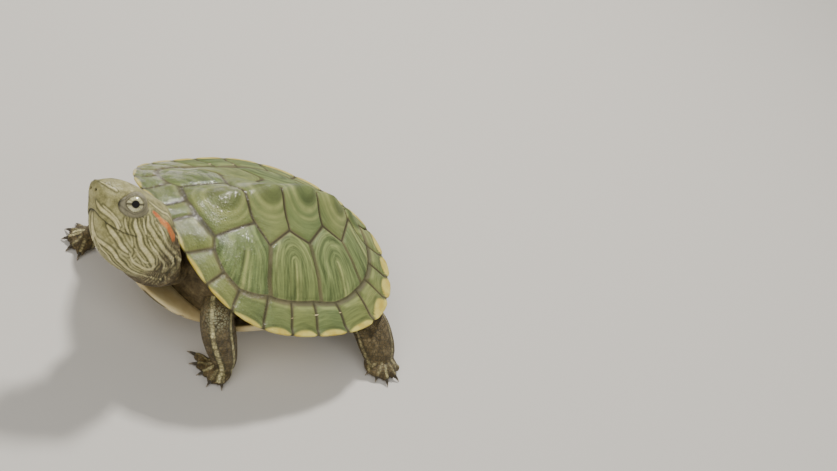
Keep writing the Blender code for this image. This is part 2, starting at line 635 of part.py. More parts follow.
def build_soft_body(group, tools, parent):
    """Model the flesh whole, flatten it where it meets the ground, and part it with thin cuts."""
    flesh = build_trunk(tools, parent)
    flesh.name = "flesh"
    pieces = [build_head_and_neck(tools, parent)]
    for name, path, widths, depths, samples in (
            ("foreleg_left", FORELEG_LEFT, FORELEG_WIDTHS, FORELEG_DEPTHS, FORELEG_RINGS),
            ("foreleg_right", FORELEG_RIGHT, FORELEG_WIDTHS, FORELEG_DEPTHS, FORELEG_RINGS),
            ("hindleg_left", HINDLEG_LEFT, HINDLEG_WIDTHS, HINDLEG_DEPTHS, HINDLEG_RINGS),
            ("hindleg_right", HINDLEG_RIGHT, HINDLEG_WIDTHS, HINDLEG_DEPTHS, HINDLEG_RINGS)):
        pieces.append(limb(f"whole_{name}", path, widths, depths, samples, LEG_SIDES, tools, parent))
    tail_widths = [2 * radius for radius in TAIL_RADII]
    pieces.append(limb("whole_tail", TAIL, tail_widths, tail_widths, TAIL_RINGS, TAIL_SIDES, tools, parent,
                       broad=(1.0, 0.0, 0.0)))
    for name, palm, sizes, claws, clawed in (
            ("forefoot_left", FOREFOOT_LEFT, FORE_PALM, FORECLAWS_LEFT, FORE_CLAWS),
            ("forefoot_right", FOREFOOT_RIGHT, FORE_PALM, FORECLAWS_RIGHT, FORE_CLAWS),
            ("hindfoot_left", HINDFOOT_LEFT, HIND_PALM, HINDCLAWS_LEFT, HIND_CLAWS),
            ("hindfoot_right", HINDFOOT_RIGHT, HIND_PALM, HINDCLAWS_RIGHT, HIND_CLAWS)):
        pieces.append(build_foot(f"whole_{name}", palm, sizes, claws, clawed, tools, parent))
    for piece in pieces:
        as_cutter(piece)
        add_boolean(flesh, piece, "UNION")

    bpy.ops.mesh.primitive_cube_add(size=GROUND_SIZE * MM)
    ground = bpy.context.active_object
    ground.name = "ground"
    for holder in list(ground.users_collection):
        holder.objects.unlink(ground)
    tools.objects.link(ground)
    ground.parent = parent
    ground.location = (0, 0, -GROUND_SIZE / 2 * MM)
    add_boolean(flesh, as_cutter(ground), "DIFFERENCE")

    add_boolean(flesh, build_jaw_cutter(tools, parent), "DIFFERENCE")
    for side, sign in (("left", 1), ("right", -1)):
        add_boolean(flesh, build_lids(side, sign, tools, parent), "UNION")
        place = in_head(sign * EYE_PLACE[0], *EYE_PLACE[1:])
        socket = as_cutter(ball(f"socket_{side}", place, EYE_RADIUS + GAP, tools, parent))
        add_boolean(flesh, socket, "DIFFERENCE")
    cuts = dict(CUTS, head_cut=(in_head(0, *HEAD_CUT[:2]), head_axes()[1], HEAD_CUT[2]))
    for name, (place, normal, radius) in cuts.items():
        add_boolean(flesh, disc_cutter(name, place, normal, radius, tools, parent), "DIFFERENCE")
    apply_modifiers(flesh)

    middles = dict(MIDDLES, head=in_head(0, *HEAD_MIDDLE), lower_jaw=in_head(0, *JAW_MIDDLE))
    parts = split_islands(flesh, middles, group, parent)
    as_cutter(flesh)
    for name, made in parts.items():
        kind = "leg" if "leg" in name else "foot" if "foot" in name else name
        made.data.materials.append(material(name, COLOURS[kind]))
    return parts


def build_jaw_cutter(tools, parent):
    """Thin bent slab that frees the lower jaw: along the mouth, then down behind its corner."""
    back, drop = MOUTH_CORNER
    tip, tip_up = MOUTH_TIP
    slope = (tip_up - drop) / (tip - back)
    path = np.array([(JAW_CUT_REACH, tip_up + slope * (JAW_CUT_REACH - tip)), (back, drop),
                     (back + JAW_CUT_END[0], drop + JAW_CUT_END[1])])
    steps = np.diff(path, axis=0)
    steps /= np.linalg.norm(steps, axis=1)[:, None]
    square = np.column_stack([-steps[:, 1], steps[:, 0]])
    mitre = (square[0] + square[1]) / (1 + np.dot(square[0], square[1]))
    offsets = np.array([square[0], mitre, square[1]]) * GAP / 2
    corners = np.vstack([path + offsets, (path - offsets)[::-1]])
    rings = [[in_head(side * JAW_CUT_HALF_WIDTH, *corner) for corner in corners] for side in (-1, 1)]
    return as_cutter(loft("jaw_cut", rings, tools, parent))


def build_eyes(group, parent):
    """Eyeballs, each in its socket."""
    for side, sign in (("left", 1), ("right", -1)):
        place = in_head(sign * EYE_PLACE[0], *EYE_PLACE[1:])
        eye = ball(f"eye_{side}", place, EYE_RADIUS, group, parent)
        eye.data.materials.append(material(f"eye_{side}", COLOURS["eye"], 0.1))


def build():
    """Assemble the whole animal."""
    for thing in list(bpy.data.objects):
        bpy.data.objects.remove(thing, do_unlink=True)
    parts = new_collection("slider_turtle")
    tools = new_collection("cutters")
    turtle = bpy.data.objects.new("turtle", None)
    parts.objects.link(turtle)
    turtle.location = (-CENTRE_X * MM, -CENTRE_Y * MM, 0.0)
    stance = bpy.data.objects.new("shell_stance", None)
    parts.objects.link(stance)
    stance.parent = turtle
    stance.location = (0.0, 0.0, SHELL_HEIGHT * MM)
    stance.rotation_euler = (-SHELL_PITCH, 0.0, 0.0)
    build_carapace(parts, stance)
    build_plastron(parts, stance)
    build_soft_body(parts, tools, turtle)
    build_eyes(parts, turtle)


build()
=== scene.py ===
"""Young red-eared slider turtle, life size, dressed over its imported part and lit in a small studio.

The turtle looks along -Y, its left side is +X, and its soles rest on z = 0. Lengths are in mm until a mesh
is made. The shell has its own frame: x to the left, y to the tail, z up from the shell's centre.
"""
import math

import bpy
import numpy as np
from mathutils import Matrix, Vector


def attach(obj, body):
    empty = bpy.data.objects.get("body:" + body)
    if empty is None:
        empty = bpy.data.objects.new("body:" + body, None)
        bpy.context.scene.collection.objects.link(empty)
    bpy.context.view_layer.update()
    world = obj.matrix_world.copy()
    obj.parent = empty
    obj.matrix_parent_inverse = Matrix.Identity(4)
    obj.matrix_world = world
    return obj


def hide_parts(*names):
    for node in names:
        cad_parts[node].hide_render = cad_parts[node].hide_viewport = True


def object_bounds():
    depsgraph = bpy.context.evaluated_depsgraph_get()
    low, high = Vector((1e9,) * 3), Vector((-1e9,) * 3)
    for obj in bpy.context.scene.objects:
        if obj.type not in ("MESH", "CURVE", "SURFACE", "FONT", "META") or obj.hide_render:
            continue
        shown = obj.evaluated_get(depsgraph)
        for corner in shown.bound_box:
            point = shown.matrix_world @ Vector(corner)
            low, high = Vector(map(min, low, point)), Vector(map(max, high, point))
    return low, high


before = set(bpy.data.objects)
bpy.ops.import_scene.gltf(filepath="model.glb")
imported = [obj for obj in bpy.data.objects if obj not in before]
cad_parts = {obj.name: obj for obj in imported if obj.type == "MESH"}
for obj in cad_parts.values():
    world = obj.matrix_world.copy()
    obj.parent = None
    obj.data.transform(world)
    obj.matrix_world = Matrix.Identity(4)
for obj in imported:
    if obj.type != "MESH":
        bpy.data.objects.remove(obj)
cad_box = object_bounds()

# ---------------------------------------------------------------------------------------------------
# Carapace. The domed upper shell of bone under thin horny scutes: five vertebrals down the keel, four
# costals on each side, and a ring of a nuchal and twenty-four marginals. The scutes meet in sunken seams,
# and each carries fine lines that fan from its upper edge, with yellow at the rim.
MM = 0.001
CENTRE = np.array([1.02, -4.09, 0.0])                 # middle of the whole animal, from below the shell's
SHELL_PITCH = math.radians(11.0)
SHELL_HEIGHT = 24.75
RIM_RADIUS = (42.4, -2.6, 3.4, 0.15, -0.85)          # cosine series over the bearing, 0 at the head
RIM_HEIGHT = (-0.1, 0.35, 4.2, 1.05, 0.75)
NUCHAL_LIFT = 1.6
NUCHAL_SPREAD = 0.28
DOME_HEIGHT = 14.1
DOME_POWER = (2.06, 0.45, 0.26)
DOME_EDGE = 1.14
CREST_HEIGHT = 4.6
CREST_MIDDLE = 3.0
CREST_HALF_LENGTH = 38.0
CREST_HALF_WIDTH = 6.3
CREST_FADE = 1.3
CREST_FLARE = 1.8
KEEL_WIDTH = 5.0
KEEL_KNOBS = (-23.0, -8.5, 6.0, 20.0, 32.0)           # each vertebral's keel is highest near its rear
KNOB_HEIGHT = 0.9
KNOB_LENGTH = 4.2
KEEL_CREST = 0.75                                     # a sharper crest than the part's rounded keel
KEEL_CREST_WIDTH = 2.2
GUTTER_DEPTH = 1.2
GUTTER_PLACE = 0.74
GUTTER_WIDTH = 0.09
NOTCH_DEPTH = 0.35                                    # at the front; the rear rim is more toothed
REAR_NOTCH_GAIN = 0.75
NOTCH_SPREAD = math.radians(1.6)
SHELL_WALL = 2.0
MARGINAL_SEAMS = (4.2, 17.7, 31.3, 44.9, 60.8, 76.4, 90.9, 108.2, 125.9, 142.0, 154.2, 165.8, 180.0)
MARGINAL_TOPS = (5.0, 24.0, 34.0, 44.0, 60.0, 76.5, 94.0, 110.0, 129.0, 140.5, 153.5, 166.0, 180.0)
MARGINAL_INNER = ((0, 0.79), (6, 0.79), (19, 0.75), (25, 0.81), (34, 0.85), (44, 0.86), (53, 0.82),
                  (60, 0.785), (76, 0.77), (94, 0.755), (110, 0.775), (129, 0.76), (140, 0.77), (153, 0.785),
                  (166, 0.81), (180, 0.83))           # bearing, share of the rim's radius
VERTEBRAL_EDGE = ((3.7, -33.2), (10.4, -30.1), (8.6, -16.0), (15.2, -12.6), (10.7, -2.8), (14.1, 4.4),
                  (8.6, 12.8), (12.0, 20.8), (3.2, 29.8), (9.0, 36.6))
CROSS_SEAMS = (-16.0, -2.8, 12.8, 29.8)               # where two vertebrals meet, along the shell
CROSS_SEAM_BOW = 1.3                                  # how far their middles bend to the head
CROSS_SEAM_REACH = 9.0
COSTAL_SEAMS = (((15.2, -12.6), (22.0, -14.6), 62.0), ((14.1, 4.4), (21.0, 4.6), 100.0),
                ((12.0, 20.8), (17.5, 22.6), 136.0))  # inner end, a bend, bearing of the outer end
COSTAL_MIDDLES = np.array([0.56, 0.50, 0.50, 0.50])   # where a costal's lines stand upright, as a share
COSTAL_SPREADS = np.array([15.0, 16.0, 15.0, 12.0])   # its width between its side seams
VERTEBRAL_STARTS = np.array([-33.5, *CROSS_SEAMS])
VERTEBRAL_LENGTHS = np.array([17.5, 13.2, 15.6, 17.0, 8.5])
SOFT_HORN = {"marginal": (1.35, 0.62), "costal": (0.34, 0.80), "vertebral": (0.50, 0.60)}   # along, across
SOFT_HORN_BY_KEEL = 0.55
FIRST_CORNER, LAST_CORNER = (10.4, -33.0, 0.9), (5.0, 40.0, 0.8)      # where the end costals' lines turn to
ARCH_START = 9.0                                      # up from the marginals, where a costal's lines close
ARCH_SQUASH = 0.75
COSTAL_HEIGHT = 13.0
RING_PLACE = 0.55                                     # of the vertebrals' rings, along each scute
RING_SQUASH = 0.9
LINE_SHARES = {"marginal": 0.55, "vertebral": 0.35, "costal": 1.0}
# Marks: place, width and strength. A costal's streaks also have where they start, fade and end on it.
PALE_STREAKS = ((0.45, 0.36, 1.0, 0.0, 0.60, 0.85), (1.5, 0.30, 0.5, 0.0, 0.4, 0.7))
DARK_STREAKS = ((-0.35, 0.30, 1.0, 0.15, 0.60, 0.80), (-1.7, 0.35, 0.5, 0.0, 0.45, 0.70))
PALE_RINGS = ((5.4, 0.7, 0.75), (7.6, 0.5, 0.50))
DARK_RING = (3.2, 1.5, 0.65)
MARGINAL_LINE = (0.80, 0.06, 0.55)
YELLOW_BORDER = (0.06, 0.05, 0.6)                     # its place is measured from the yellow's edge
YELLOW_WIDTHS = (0.15, 0.04, 0.24)                    # in front, more at the sides, and more at the rear
YELLOW_FULLNESS = 2.6
WET_FRONT = (-7.0, -17.0)                             # where water lies on the front of the shell
WET_KEEL = (4.5, 0.8, 8.0, -8.0)                      # and along its keel: width, share, ends
SEAM_DEPTH = 0.45
SEAM_HALF_WIDTH = 0.6
DEEPEST_SEAM = 0.80
PLATE_SWELL = 0.75                                    # a scute's middle stands this far over its edge
PLATE_ROUNDING = 1.7
STREAK_PALE = (0.40, 0.42, 0.15)
STREAK_DARK = (0.052, 0.062, 0.020)
# colour of the seams: the horn's own dark joints together with painted shade of the sunken seams and gutter
SEAM_DARK_AND_SHADE = (0.034, 0.028, 0.015)
SHELL_COLUMNS = 480
SHELL_RINGS = 150


def shell_to_row(points):
    """Turn points of the shell's frame nose up: y' = y cos p + z sin p, z' = z cos p - y sin p + height."""
    x, y, z = np.moveaxis(np.asarray(points, dtype=float), -1, 0)
    cos, sin = math.cos(SHELL_PITCH), math.sin(SHELL_PITCH)
    return np.stack([x, y * cos + z * sin, z * cos - y * sin + SHELL_HEIGHT], axis=-1) - CENTRE


def smooth(low, high, value):
    """Smooth step: s = clip((v - low) / (high - low), 0, 1), s s (3 - 2 s)."""
    share = np.clip((value - low) / (high - low), 0, 1)
    return share * share * (3 - 2 * share)


def smooth_path(places, samples):
    """Catmull-Rom curve through the places, all columns alike, at evenly spread parameters."""
    places = np.asarray(places, dtype=float)
    padded = np.concatenate([2 * places[:1] - places[1:2], places, 2 * places[-1:] - places[-2:-1]])
    spot = np.linspace(0, len(places) - 1 - 1e-6, samples)
    start = spot.astype(int)
    share = (spot - start).reshape(-1, *[1] * (places.ndim - 1))
    p0, p1, p2, p3 = (padded[start + k] for k in range(4))
    return 0.5 * (2 * p1 + (p2 - p0) * share + (2 * p0 - 5 * p1 + 4 * p2 - p3) * share ** 2
                  + (3 * p1 - p0 - 3 * p2 + p3) * share ** 3)


def segment_distance(x, y, line):
    """Distance of each place in plan from a line through a few points, and the line's share there."""
    line = np.asarray(line, dtype=float)
    best, share = np.full(np.shape(x), 1e9), np.zeros(np.shape(x))
    lengths = np.concatenate([[0.0], np.cumsum(np.hypot(*np.diff(line, axis=0).T))])
    for start, end, before in zip(line[:-1], line[1:], lengths):
        step = end - start
        size = math.hypot(*step)
        along = np.clip(((x - start[0]) * step[0] + (y - start[1]) * step[1]) / size ** 2, 0, 1)
        apart = np.hypot(x - start[0] - along * step[0], y - start[1] - along * step[1])
        share = np.where(apart < best, (before + along * size) / lengths[-1], share)
        best = np.minimum(best, apart)
    return best, share


def series(terms, bearing):
    """Sum of terms[k] cos(k bearing)."""
    return sum(term * np.cos(k * bearing) for k, term in enumerate(terms))


def rim_height(bearing):
    """Saddle of the rim, low at the sides, with a lift over the neck."""
    turned = np.arctan2(np.sin(bearing), np.cos(bearing))
    return series(RIM_HEIGHT, bearing) + NUCHAL_LIFT * np.exp(-(turned / NUCHAL_SPREAD) ** 2)


def dome(x, y):
    """Height of the carapace: rim + (top - rim) (1 - r^p)^e + keel + crest - gutter, r is 1 at the rim."""
    bearing = np.arctan2(x, -y)
    reach = np.clip(np.hypot(x, y) / series(RIM_RADIUS, bearing), 0, 1)
    rim = rim_height(bearing)
    fullness = (1 - reach ** series(DOME_POWER, bearing)) ** DOME_EDGE
    keel = np.exp(-(x / KEEL_WIDTH) ** 2) * (1 - reach ** 2)
    knobs = sum(np.exp(-((y - place) / KNOB_LENGTH) ** 2) for place in KEEL_KNOBS)
    keel = keel + KNOB_HEIGHT * knobs * np.exp(-(x / (0.7 * KEEL_WIDTH)) ** 2) * (1 - reach ** 4)
    gutter = GUTTER_DEPTH * np.exp(-((reach - GUTTER_PLACE) / GUTTER_WIDTH) ** 2)
    crest = np.clip(1 - ((y - CREST_MIDDLE) / CREST_HALF_LENGTH) ** 2, 0, 1) ** CREST_FADE
    crest = CREST_HEIGHT * crest * np.exp(-np.abs(x / CREST_HALF_WIDTH) ** CREST_FLARE)
    return rim + (DOME_HEIGHT - rim) * fullness + keel + crest - gutter * np.sin(bearing) ** 2


def dome_steepness(x, y):
    """Vertical reach of one unit of thickness under the dome: sqrt(1 + slope squared), at most 2.2."""
    along_x, along_y = dome(x + 0.5, y) - dome(x - 0.5, y), dome(x, y + 0.5) - dome(x, y - 0.5)
    return np.clip(np.sqrt(1 + along_x ** 2 + along_y ** 2), 1, 2.2)


def rim_notch(bearing):
    """Fall of the rim at each seam between marginals, deepest at the rear, where the edge is toothed."""
    distance = np.min(np.abs(np.abs(bearing)[..., None] - np.radians(MARGINAL_SEAMS)), axis=-1)
    depth = NOTCH_DEPTH + REAR_NOTCH_GAIN * np.clip((np.abs(bearing) - 2.0) / 0.7, 0, 1)
    return depth * np.exp(-(distance / NOTCH_SPREAD) ** 2)


def fading(value, middle, width, strength=1.0):
    """Soft line: s exp(-((v - m) / w)^2)."""
    return strength * np.exp(-((value - middle) / width) ** 2)


def scute_map(x, y):
    """Seams and grain of the scutes: distance to the nearest seam, that distance in widths of the soft horn
    there with its corners rounded as (a^-4 + b^-4 + c^-4)^(-1/4), grain, marks, and where water lies."""
    side = np.abs(x)
    bearing = np.abs(np.arctan2(x, -y))
    degrees = np.degrees(bearing)
    radius = np.hypot(x, y)
    rim = series(RIM_RADIUS, bearing)
    inner = np.interp(degrees, *np.array(MARGINAL_INNER).T) * rim
    bow = CROSS_SEAM_BOW * (1 - np.clip(side / CROSS_SEAM_REACH, 0, 1) ** 2)
    ahead = [line_y - bow for line_y in CROSS_SEAMS]
    edge = np.array(VERTEBRAL_EDGE)
    marginal = radius > inner
    vertebral = (side < np.interp(y, edge[:, 1], edge[:, 0])) & ~marginal
    costal = ~vertebral & ~marginal
    from_inner, from_edge = np.abs(radius - inner), segment_distance(side, y, edge)[0]
    cross_gap = np.min([np.abs(y - line) for line in ahead], axis=0)
    number = sum((y > line).astype(int) for line in ahead)

    costal_gaps, costal_number = [], 0
    for start, bend, turn in COSTAL_SEAMS:
        reach = float(np.interp(turn, *np.array(MARGINAL_INNER).T) * series(RIM_RADIUS, math.radians(turn)))
        end = (reach * math.sin(math.radians(turn)), -reach * math.cos(math.radians(turn)))
        line = smooth_path([start, bend, end], 9)
        costal_gaps.append(segment_distance(side, y, line)[0])
        costal_number = costal_number + (y > np.interp(side, line[:, 0], line[:, 1])).astype(int)
    costal_gap = np.min(costal_gaps, axis=0)

    tops, rims = np.radians(MARGINAL_TOPS), np.radians(MARGINAL_SEAMS)
    climb = np.clip((rim - radius) / np.maximum(rim - inner, 1e-6), 0, 1)
    lines = tops + (rims - tops) * (1 - climb[..., None])
    marginal_gap = np.min(np.abs(bearing[..., None] - lines), axis=-1) * radius
    marginal_number = np.sum(bearing[..., None] > lines, axis=-1)

    seam = np.select([marginal, vertebral], [marginal_gap, np.minimum(from_edge, cross_gap)],
                     np.minimum(from_edge, costal_gap))
    seam = np.minimum(seam, 0.98 * from_inner)
    by_rim, across_horn = (np.select([marginal, costal], [SOFT_HORN["marginal"][k], SOFT_HORN["costal"][k]],
                                     SOFT_HORN["vertebral"][k]) for k in range(2))
    bands = np.stack([from_inner / by_rim,
                      np.select([marginal, costal], [marginal_gap, costal_gap], cross_gap) / across_horn,
                      np.where(marginal, 9.0, from_edge / SOFT_HORN_BY_KEEL)])
    band = np.sum(np.clip(bands, 0.02, None) ** -4.0, axis=0) ** -0.25

    # Costals: fine lines climb from the rim and close in arches, level = sqrt(u^2 + (s max(v - v0, 0))^2),
    # with u across the scute from its middle and v up it from the marginals.
    first, last = (np.hypot(side - corner_x, y - corner_y) * size
                   for corner_x, corner_y, size in (FIRST_CORNER, LAST_CORNER))
    front, back = (np.select([costal_number == k for k in range(4)], gaps)
                   for gaps in ([first, *costal_gaps], [*costal_gaps, last]))
    place = front / np.maximum(front + back, 1e-6)
    across = (place - COSTAL_MIDDLES[costal_number]) * COSTAL_SPREADS[costal_number]
    costal_across = np.hypot(across, ARCH_SQUASH * np.clip(inner - radius - ARCH_START, 0, None))

    # Vertebrals: rings round a place on the keel, level = sqrt(x^2 + (s (y - middle))^2).
    middles = (VERTEBRAL_STARTS + RING_PLACE * VERTEBRAL_LENGTHS)[number]
    vertebral_across = np.hypot(side, RING_SQUASH * (y - middles))

    # Marginals: lines along the rim, bowed a little, one under the other.
    bounds = np.concatenate([lines[..., :1] * 0, lines], axis=-1)
    places = np.clip(marginal_number, 0, len(tops) - 1)[..., None]
    low, high = (np.take_along_axis(bounds, places + k, axis=-1)[..., 0] for k in (0, 1))
    marginal_place = (bearing - low) / np.maximum(high - low, 1e-6)
    marginal_across = climb * 9.0 + 3.0 * (marginal_place - 0.5) ** 2

    level = np.select([marginal, vertebral], [marginal_across, vertebral_across], costal_across)
    along = np.select([marginal, vertebral], [marginal_place * 9.0, y], radius + 3.0 * (across > 0))
    piece = np.select([marginal, vertebral], [20 + marginal_number, number], 8 + costal_number)
    piece = piece * 2 + (x < 0) * ~vertebral

    # Marks: pale streaks beside dark ones on each costal, rings on the vertebrals, and yellow at the rim.
    height = np.clip((inner - radius) / COSTAL_HEIGHT, 0, 1)
    streak, dark = (costal * sum(
        fading(across, *line) * smooth(foot - 0.15, foot, height) * smooth(top, full, height)
        for *line, foot, full, top in streaks) for streaks in (PALE_STREAKS, DARK_STREAKS))
    streak = streak + vertebral * sum(fading(vertebral_across, *ring) for ring in PALE_RINGS)
    dark = dark + vertebral * fading(vertebral_across, *DARK_RING)
    in_front, at_sides, at_rear = YELLOW_WIDTHS
    width = in_front + at_sides * smooth(48, 75, degrees)
    width = width + at_rear * smooth(116, 140, degrees) * smooth(179, 168, degrees)
    lens = np.clip(1 - np.abs(2 * marginal_place - 1) ** YELLOW_FULLNESS, 0, 1) * width - 0.03
    yellow = smooth(-0.02, 0.035, lens - climb) * marginal * (degrees > MARGINAL_SEAMS[0])
    streak = streak + marginal * fading(climb, *MARGINAL_LINE) * smooth(0.08, 0.3, marginal_place)
    dark = dark + marginal * fading(climb - lens, *YELLOW_BORDER)
    between_marginals = marginal & (marginal_gap < from_inner)
    between_costals = costal & (costal_gap < np.minimum(from_edge, from_inner))
    # How dark each seam is drawn: the horn's own dark joints plus painted shade of the sunken seams. It is
    # strongest on the costals' lower border over the gutter and in the vertebrals' seams, and weak between
    # costals.
    dark_seam = np.select([between_marginals, marginal, between_costals], [0.85, 0.45, 0.15], 1.0)
    keel_width, keel_share, *keel_ends = WET_KEEL
    wet = np.maximum(smooth(*WET_FRONT, y), fading(x, 0.0, keel_width, keel_share) * smooth(*keel_ends, y))
    lined = np.select([marginal, vertebral], [LINE_SHARES["marginal"], LINE_SHARES["vertebral"]],
                      LINE_SHARES["costal"])
    grain = np.stack([level, along, piece * 7.0], axis=-1)
    marks = np.stack([np.clip(streak, 0, 1), np.clip(dark, 0, 1), yellow], axis=-1)
    return seam, band, grain, marks, lined, dark_seam, wet


def grid_normals(rings):
    """Unit normals of a closed grid of rings, from its own slopes."""
    around = np.roll(rings, -1, axis=1) - np.roll(rings, 1, axis=1)
    along = np.gradient(rings, axis=0)
    normal = np.cross(around, along)
    return normal / (np.linalg.norm(normal, axis=-1, keepdims=True) + 1e-12)


bearing = 2 * math.pi * np.arange(SHELL_COLUMNS) / SHELL_COLUMNS
bearing = np.where(bearing > math.pi, bearing - 2 * math.pi, bearing)
tops, rims = np.radians(MARGINAL_TOPS), np.radians(MARGINAL_SEAMS)
for top in (*tops, *-tops):
    bearing[np.argmin(np.abs(bearing - top))] = top
reach = np.linspace(0.004, 1.0, SHELL_RINGS)[:, None]
lean = np.sign(bearing) * np.interp(np.abs(bearing), (0, *tops, math.pi), (0, *(rims - tops), 0))
inner_reach = np.interp(np.degrees(np.abs(bearing)), *np.array(MARGINAL_INNER).T)
bearing = bearing + lean * np.clip((reach - inner_reach) / (1 - inner_reach), 0, 1)
radius = reach * (series(RIM_RADIUS, bearing) - rim_notch(bearing) * np.clip((reach - 0.8) / 0.2, 0, 1))
shell_x, shell_y = radius * np.sin(bearing), -radius * np.cos(bearing)
outside = np.stack([shell_x, shell_y, dome(shell_x, shell_y)], axis=-1)
normal = grid_normals(outside)
normal *= np.sign(normal[..., 2:3].sum())
seam, band, grain, marks, lined, dark_seam, wet = scute_map(shell_x, shell_y)
near_rim = smooth(0.0, 2.2, (1 - reach) * series(RIM_RADIUS, bearing))
relief = PLATE_SWELL * (1 - np.exp(-seam / PLATE_ROUNDING)) - PLATE_SWELL
relief = relief - SEAM_DEPTH * np.exp(-(seam / SEAM_HALF_WIDTH) ** 2) * (0.35 + 0.65 * near_rim)
relief = relief * (0.25 + 0.75 * near_rim)
crest = np.exp(-np.abs(shell_x) / KEEL_CREST_WIDTH) - 0.55 * fading(shell_x, 0.0, KEEL_CREST_WIDTH)
knobs = 0.55 + 0.45 * sum(fading(shell_y, place, KNOB_LENGTH) for place in KEEL_KNOBS)
knobs = knobs * (0.15 + 0.85 * smooth(-21.0, -11.0, shell_y))
relief = np.maximum(relief + KEEL_CREST * crest * knobs * (1 - reach ** 4), -DEEPEST_SEAM)
surface = outside + relief[..., None] * normal

bearing = bearing[-1]
under_reach = np.concatenate([np.linspace(0.985, 0.9, 4), np.linspace(0.84, 0.02, 11)])[:, None]
under_radius = under_reach * series(RIM_RADIUS, bearing)
under_x, under_y = under_radius * np.sin(bearing), -under_radius * np.cos(bearing)
wall = np.minimum(SHELL_WALL * dome_steepness(under_x, under_y), 9.0 * (1 - under_reach) + 0.9)
underside = np.stack([under_x, under_y, dome(under_x, under_y) - wall], axis=-1)
edge_drop = np.array([0.25, 0.55])[:, None]
edge_radius = (series(RIM_RADIUS, bearing) - rim_notch(bearing)) * np.array([1.0, 0.997])[:, None]
edge_x, edge_y = edge_radius * np.sin(bearing), -edge_radius * np.cos(bearing)
rim_edge = np.stack([edge_x, edge_y, dome(edge_x, edge_y) - edge_drop], axis=-1)
rings = np.concatenate([surface, rim_edge, underside])
spare = len(rings) - SHELL_RINGS


def spread(values, fill):
    """Values of the outer grid carried to all rings and to the two closing points, or a fill past the rim."""
    values = np.asarray(values, dtype=float)
    tail = np.broadcast_to(values[-1:] if fill is None else np.full_like(values[-1:], fill),
                           (spare, *values.shape[1:]))
    whole = np.concatenate([values, tail])
    ends = np.stack([whole[0, 0], whole[-1, 0]])
    return np.concatenate([whole.reshape(-1, *values.shape[2:]), ends])


def node(tree, kind, inputs=None, **settings):
    """New shader node; each input takes a socket's output or a value."""
    made = tree.nodes.new(f"ShaderNode{kind}")
    for setting, value in settings.items():
        setattr(made, setting, value)
    for name, value in (inputs or {}).items():
        if isinstance(value, bpy.types.NodeSocket):
            tree.links.new(value, made.inputs[name])
        else:
            made.inputs[name].default_value = value
    return made


def math_node(tree, operation, first, second=0.5, third=0.5):
    """One sum on values: the output of a Math node."""
    return node(tree, "Math", {0: first, 1: second, 2: third}, operation=operation).outputs[0]


def ramp(tree, value, *stops):
    """Colour ramp through (place, colour) stops."""
    made = node(tree, "ValToRGB", {"Fac": value})
    elements = made.color_ramp.elements
    while len(elements) < len(stops):
        elements.new(0.5)
    for element, (place, colour) in zip(elements, stops):
        element.position = place
        element.color = (*colour, 1.0)
    return made.outputs["Color"]


def blend_colour(tree, share, first, second):
    """Mix of two colours by a share."""
    made = node(tree, "Mix", {0: share}, data_type="RGBA")
    for place, value in ((6, first), (7, second)):
        if isinstance(value, bpy.types.NodeSocket):
            tree.links.new(value, made.inputs[place])
        else:
            made.inputs[place].default_value = (*value, 1.0)
    return made.outputs[2]


def tinted(tree, share, colour, tint):
    """Colour multiplied by a tint, by a share."""
    sockets = {0: share, 6: colour, 7: tint}
    return node(tree, "Mix", sockets, data_type="RGBA", blend_type="MULTIPLY").outputs[2]


def attribute(tree, name, output="Fac"):
    """Value kept at each point of the mesh."""
    return node(tree, "Attribute", attribute_name=name).outputs[output]


def new_material(name):
    """Material with its shader and node tree at hand."""
    made = bpy.data.materials.new(name)
    made.use_nodes = True
    return made, made.node_tree, made.node_tree.nodes["Principled BSDF"]


def new_group(name, inputs, outputs):
    """Shader node group with float or vector inputs and outputs."""
    group = bpy.data.node_groups.new(name, "ShaderNodeTree")
    for way, sockets in (("INPUT", inputs), ("OUTPUT", outputs)):
        for label, kind in sockets.items():
            group.interface.new_socket(label, in_out=way, socket_type=f"NodeSocket{kind}")
    return group, group.nodes.new("NodeGroupInput").outputs, group.nodes.new("NodeGroupOutput").inputs


def noise(tree, place, scale, detail=2.0, roughness=0.5, distortion=0.0):
    """Cloudy noise about 0.5 over the places."""
    return node(tree, "TexNoise", {"Vector": place, "Scale": scale, "Detail": detail, "Roughness": roughness,
                                   "Distortion": distortion}).outputs["Fac"]


def remap(tree, value, low, high, start=0.0, end=1.0):
    """Value carried from low and high to start and end, and held there beyond them."""
    return node(tree, "MapRange", {"Value": value, 1: low, 2: high, 3: start, 4: end}).outputs[0]


def product(tree, first, second):
    """Product of two values."""
    return math_node(tree, "MULTIPLY", first, second)


streaks, streak_in, streak_out = new_group("streaks", {"Grain": "Vector", "Fineness": "Float"},
                                           {"Value": "Float"})
grain_along = node(streaks, "VectorMath", {0: streak_in["Grain"], 1: (1.0, 0.10, 1.0)}, operation="MULTIPLY")
grain_along = node(streaks, "VectorMath", {0: grain_along.outputs[0], "Scale": streak_in["Fineness"]},
                   operation="SCALE")
streaks.links.new(noise(streaks, grain_along.outputs[0], 1.0, 3.0, 0.62, 0.25), streak_out["Value"])

wetness, wet_in, wet_out = new_group("wetness", {"Place": "Vector", "Water": "Float"},
                                     {"Wet": "Float", "Specks": "Float"})
patches = remap(wetness, noise(wetness, wet_in["Place"], 260.0, 5.0, 0.7), 0.40, 0.54)
wetness.links.new(product(wetness, patches, wet_in["Water"]), wet_out["Wet"])
wetness.links.new(noise(wetness, wet_in["Place"], 2300.0, 3.0), wet_out["Specks"])

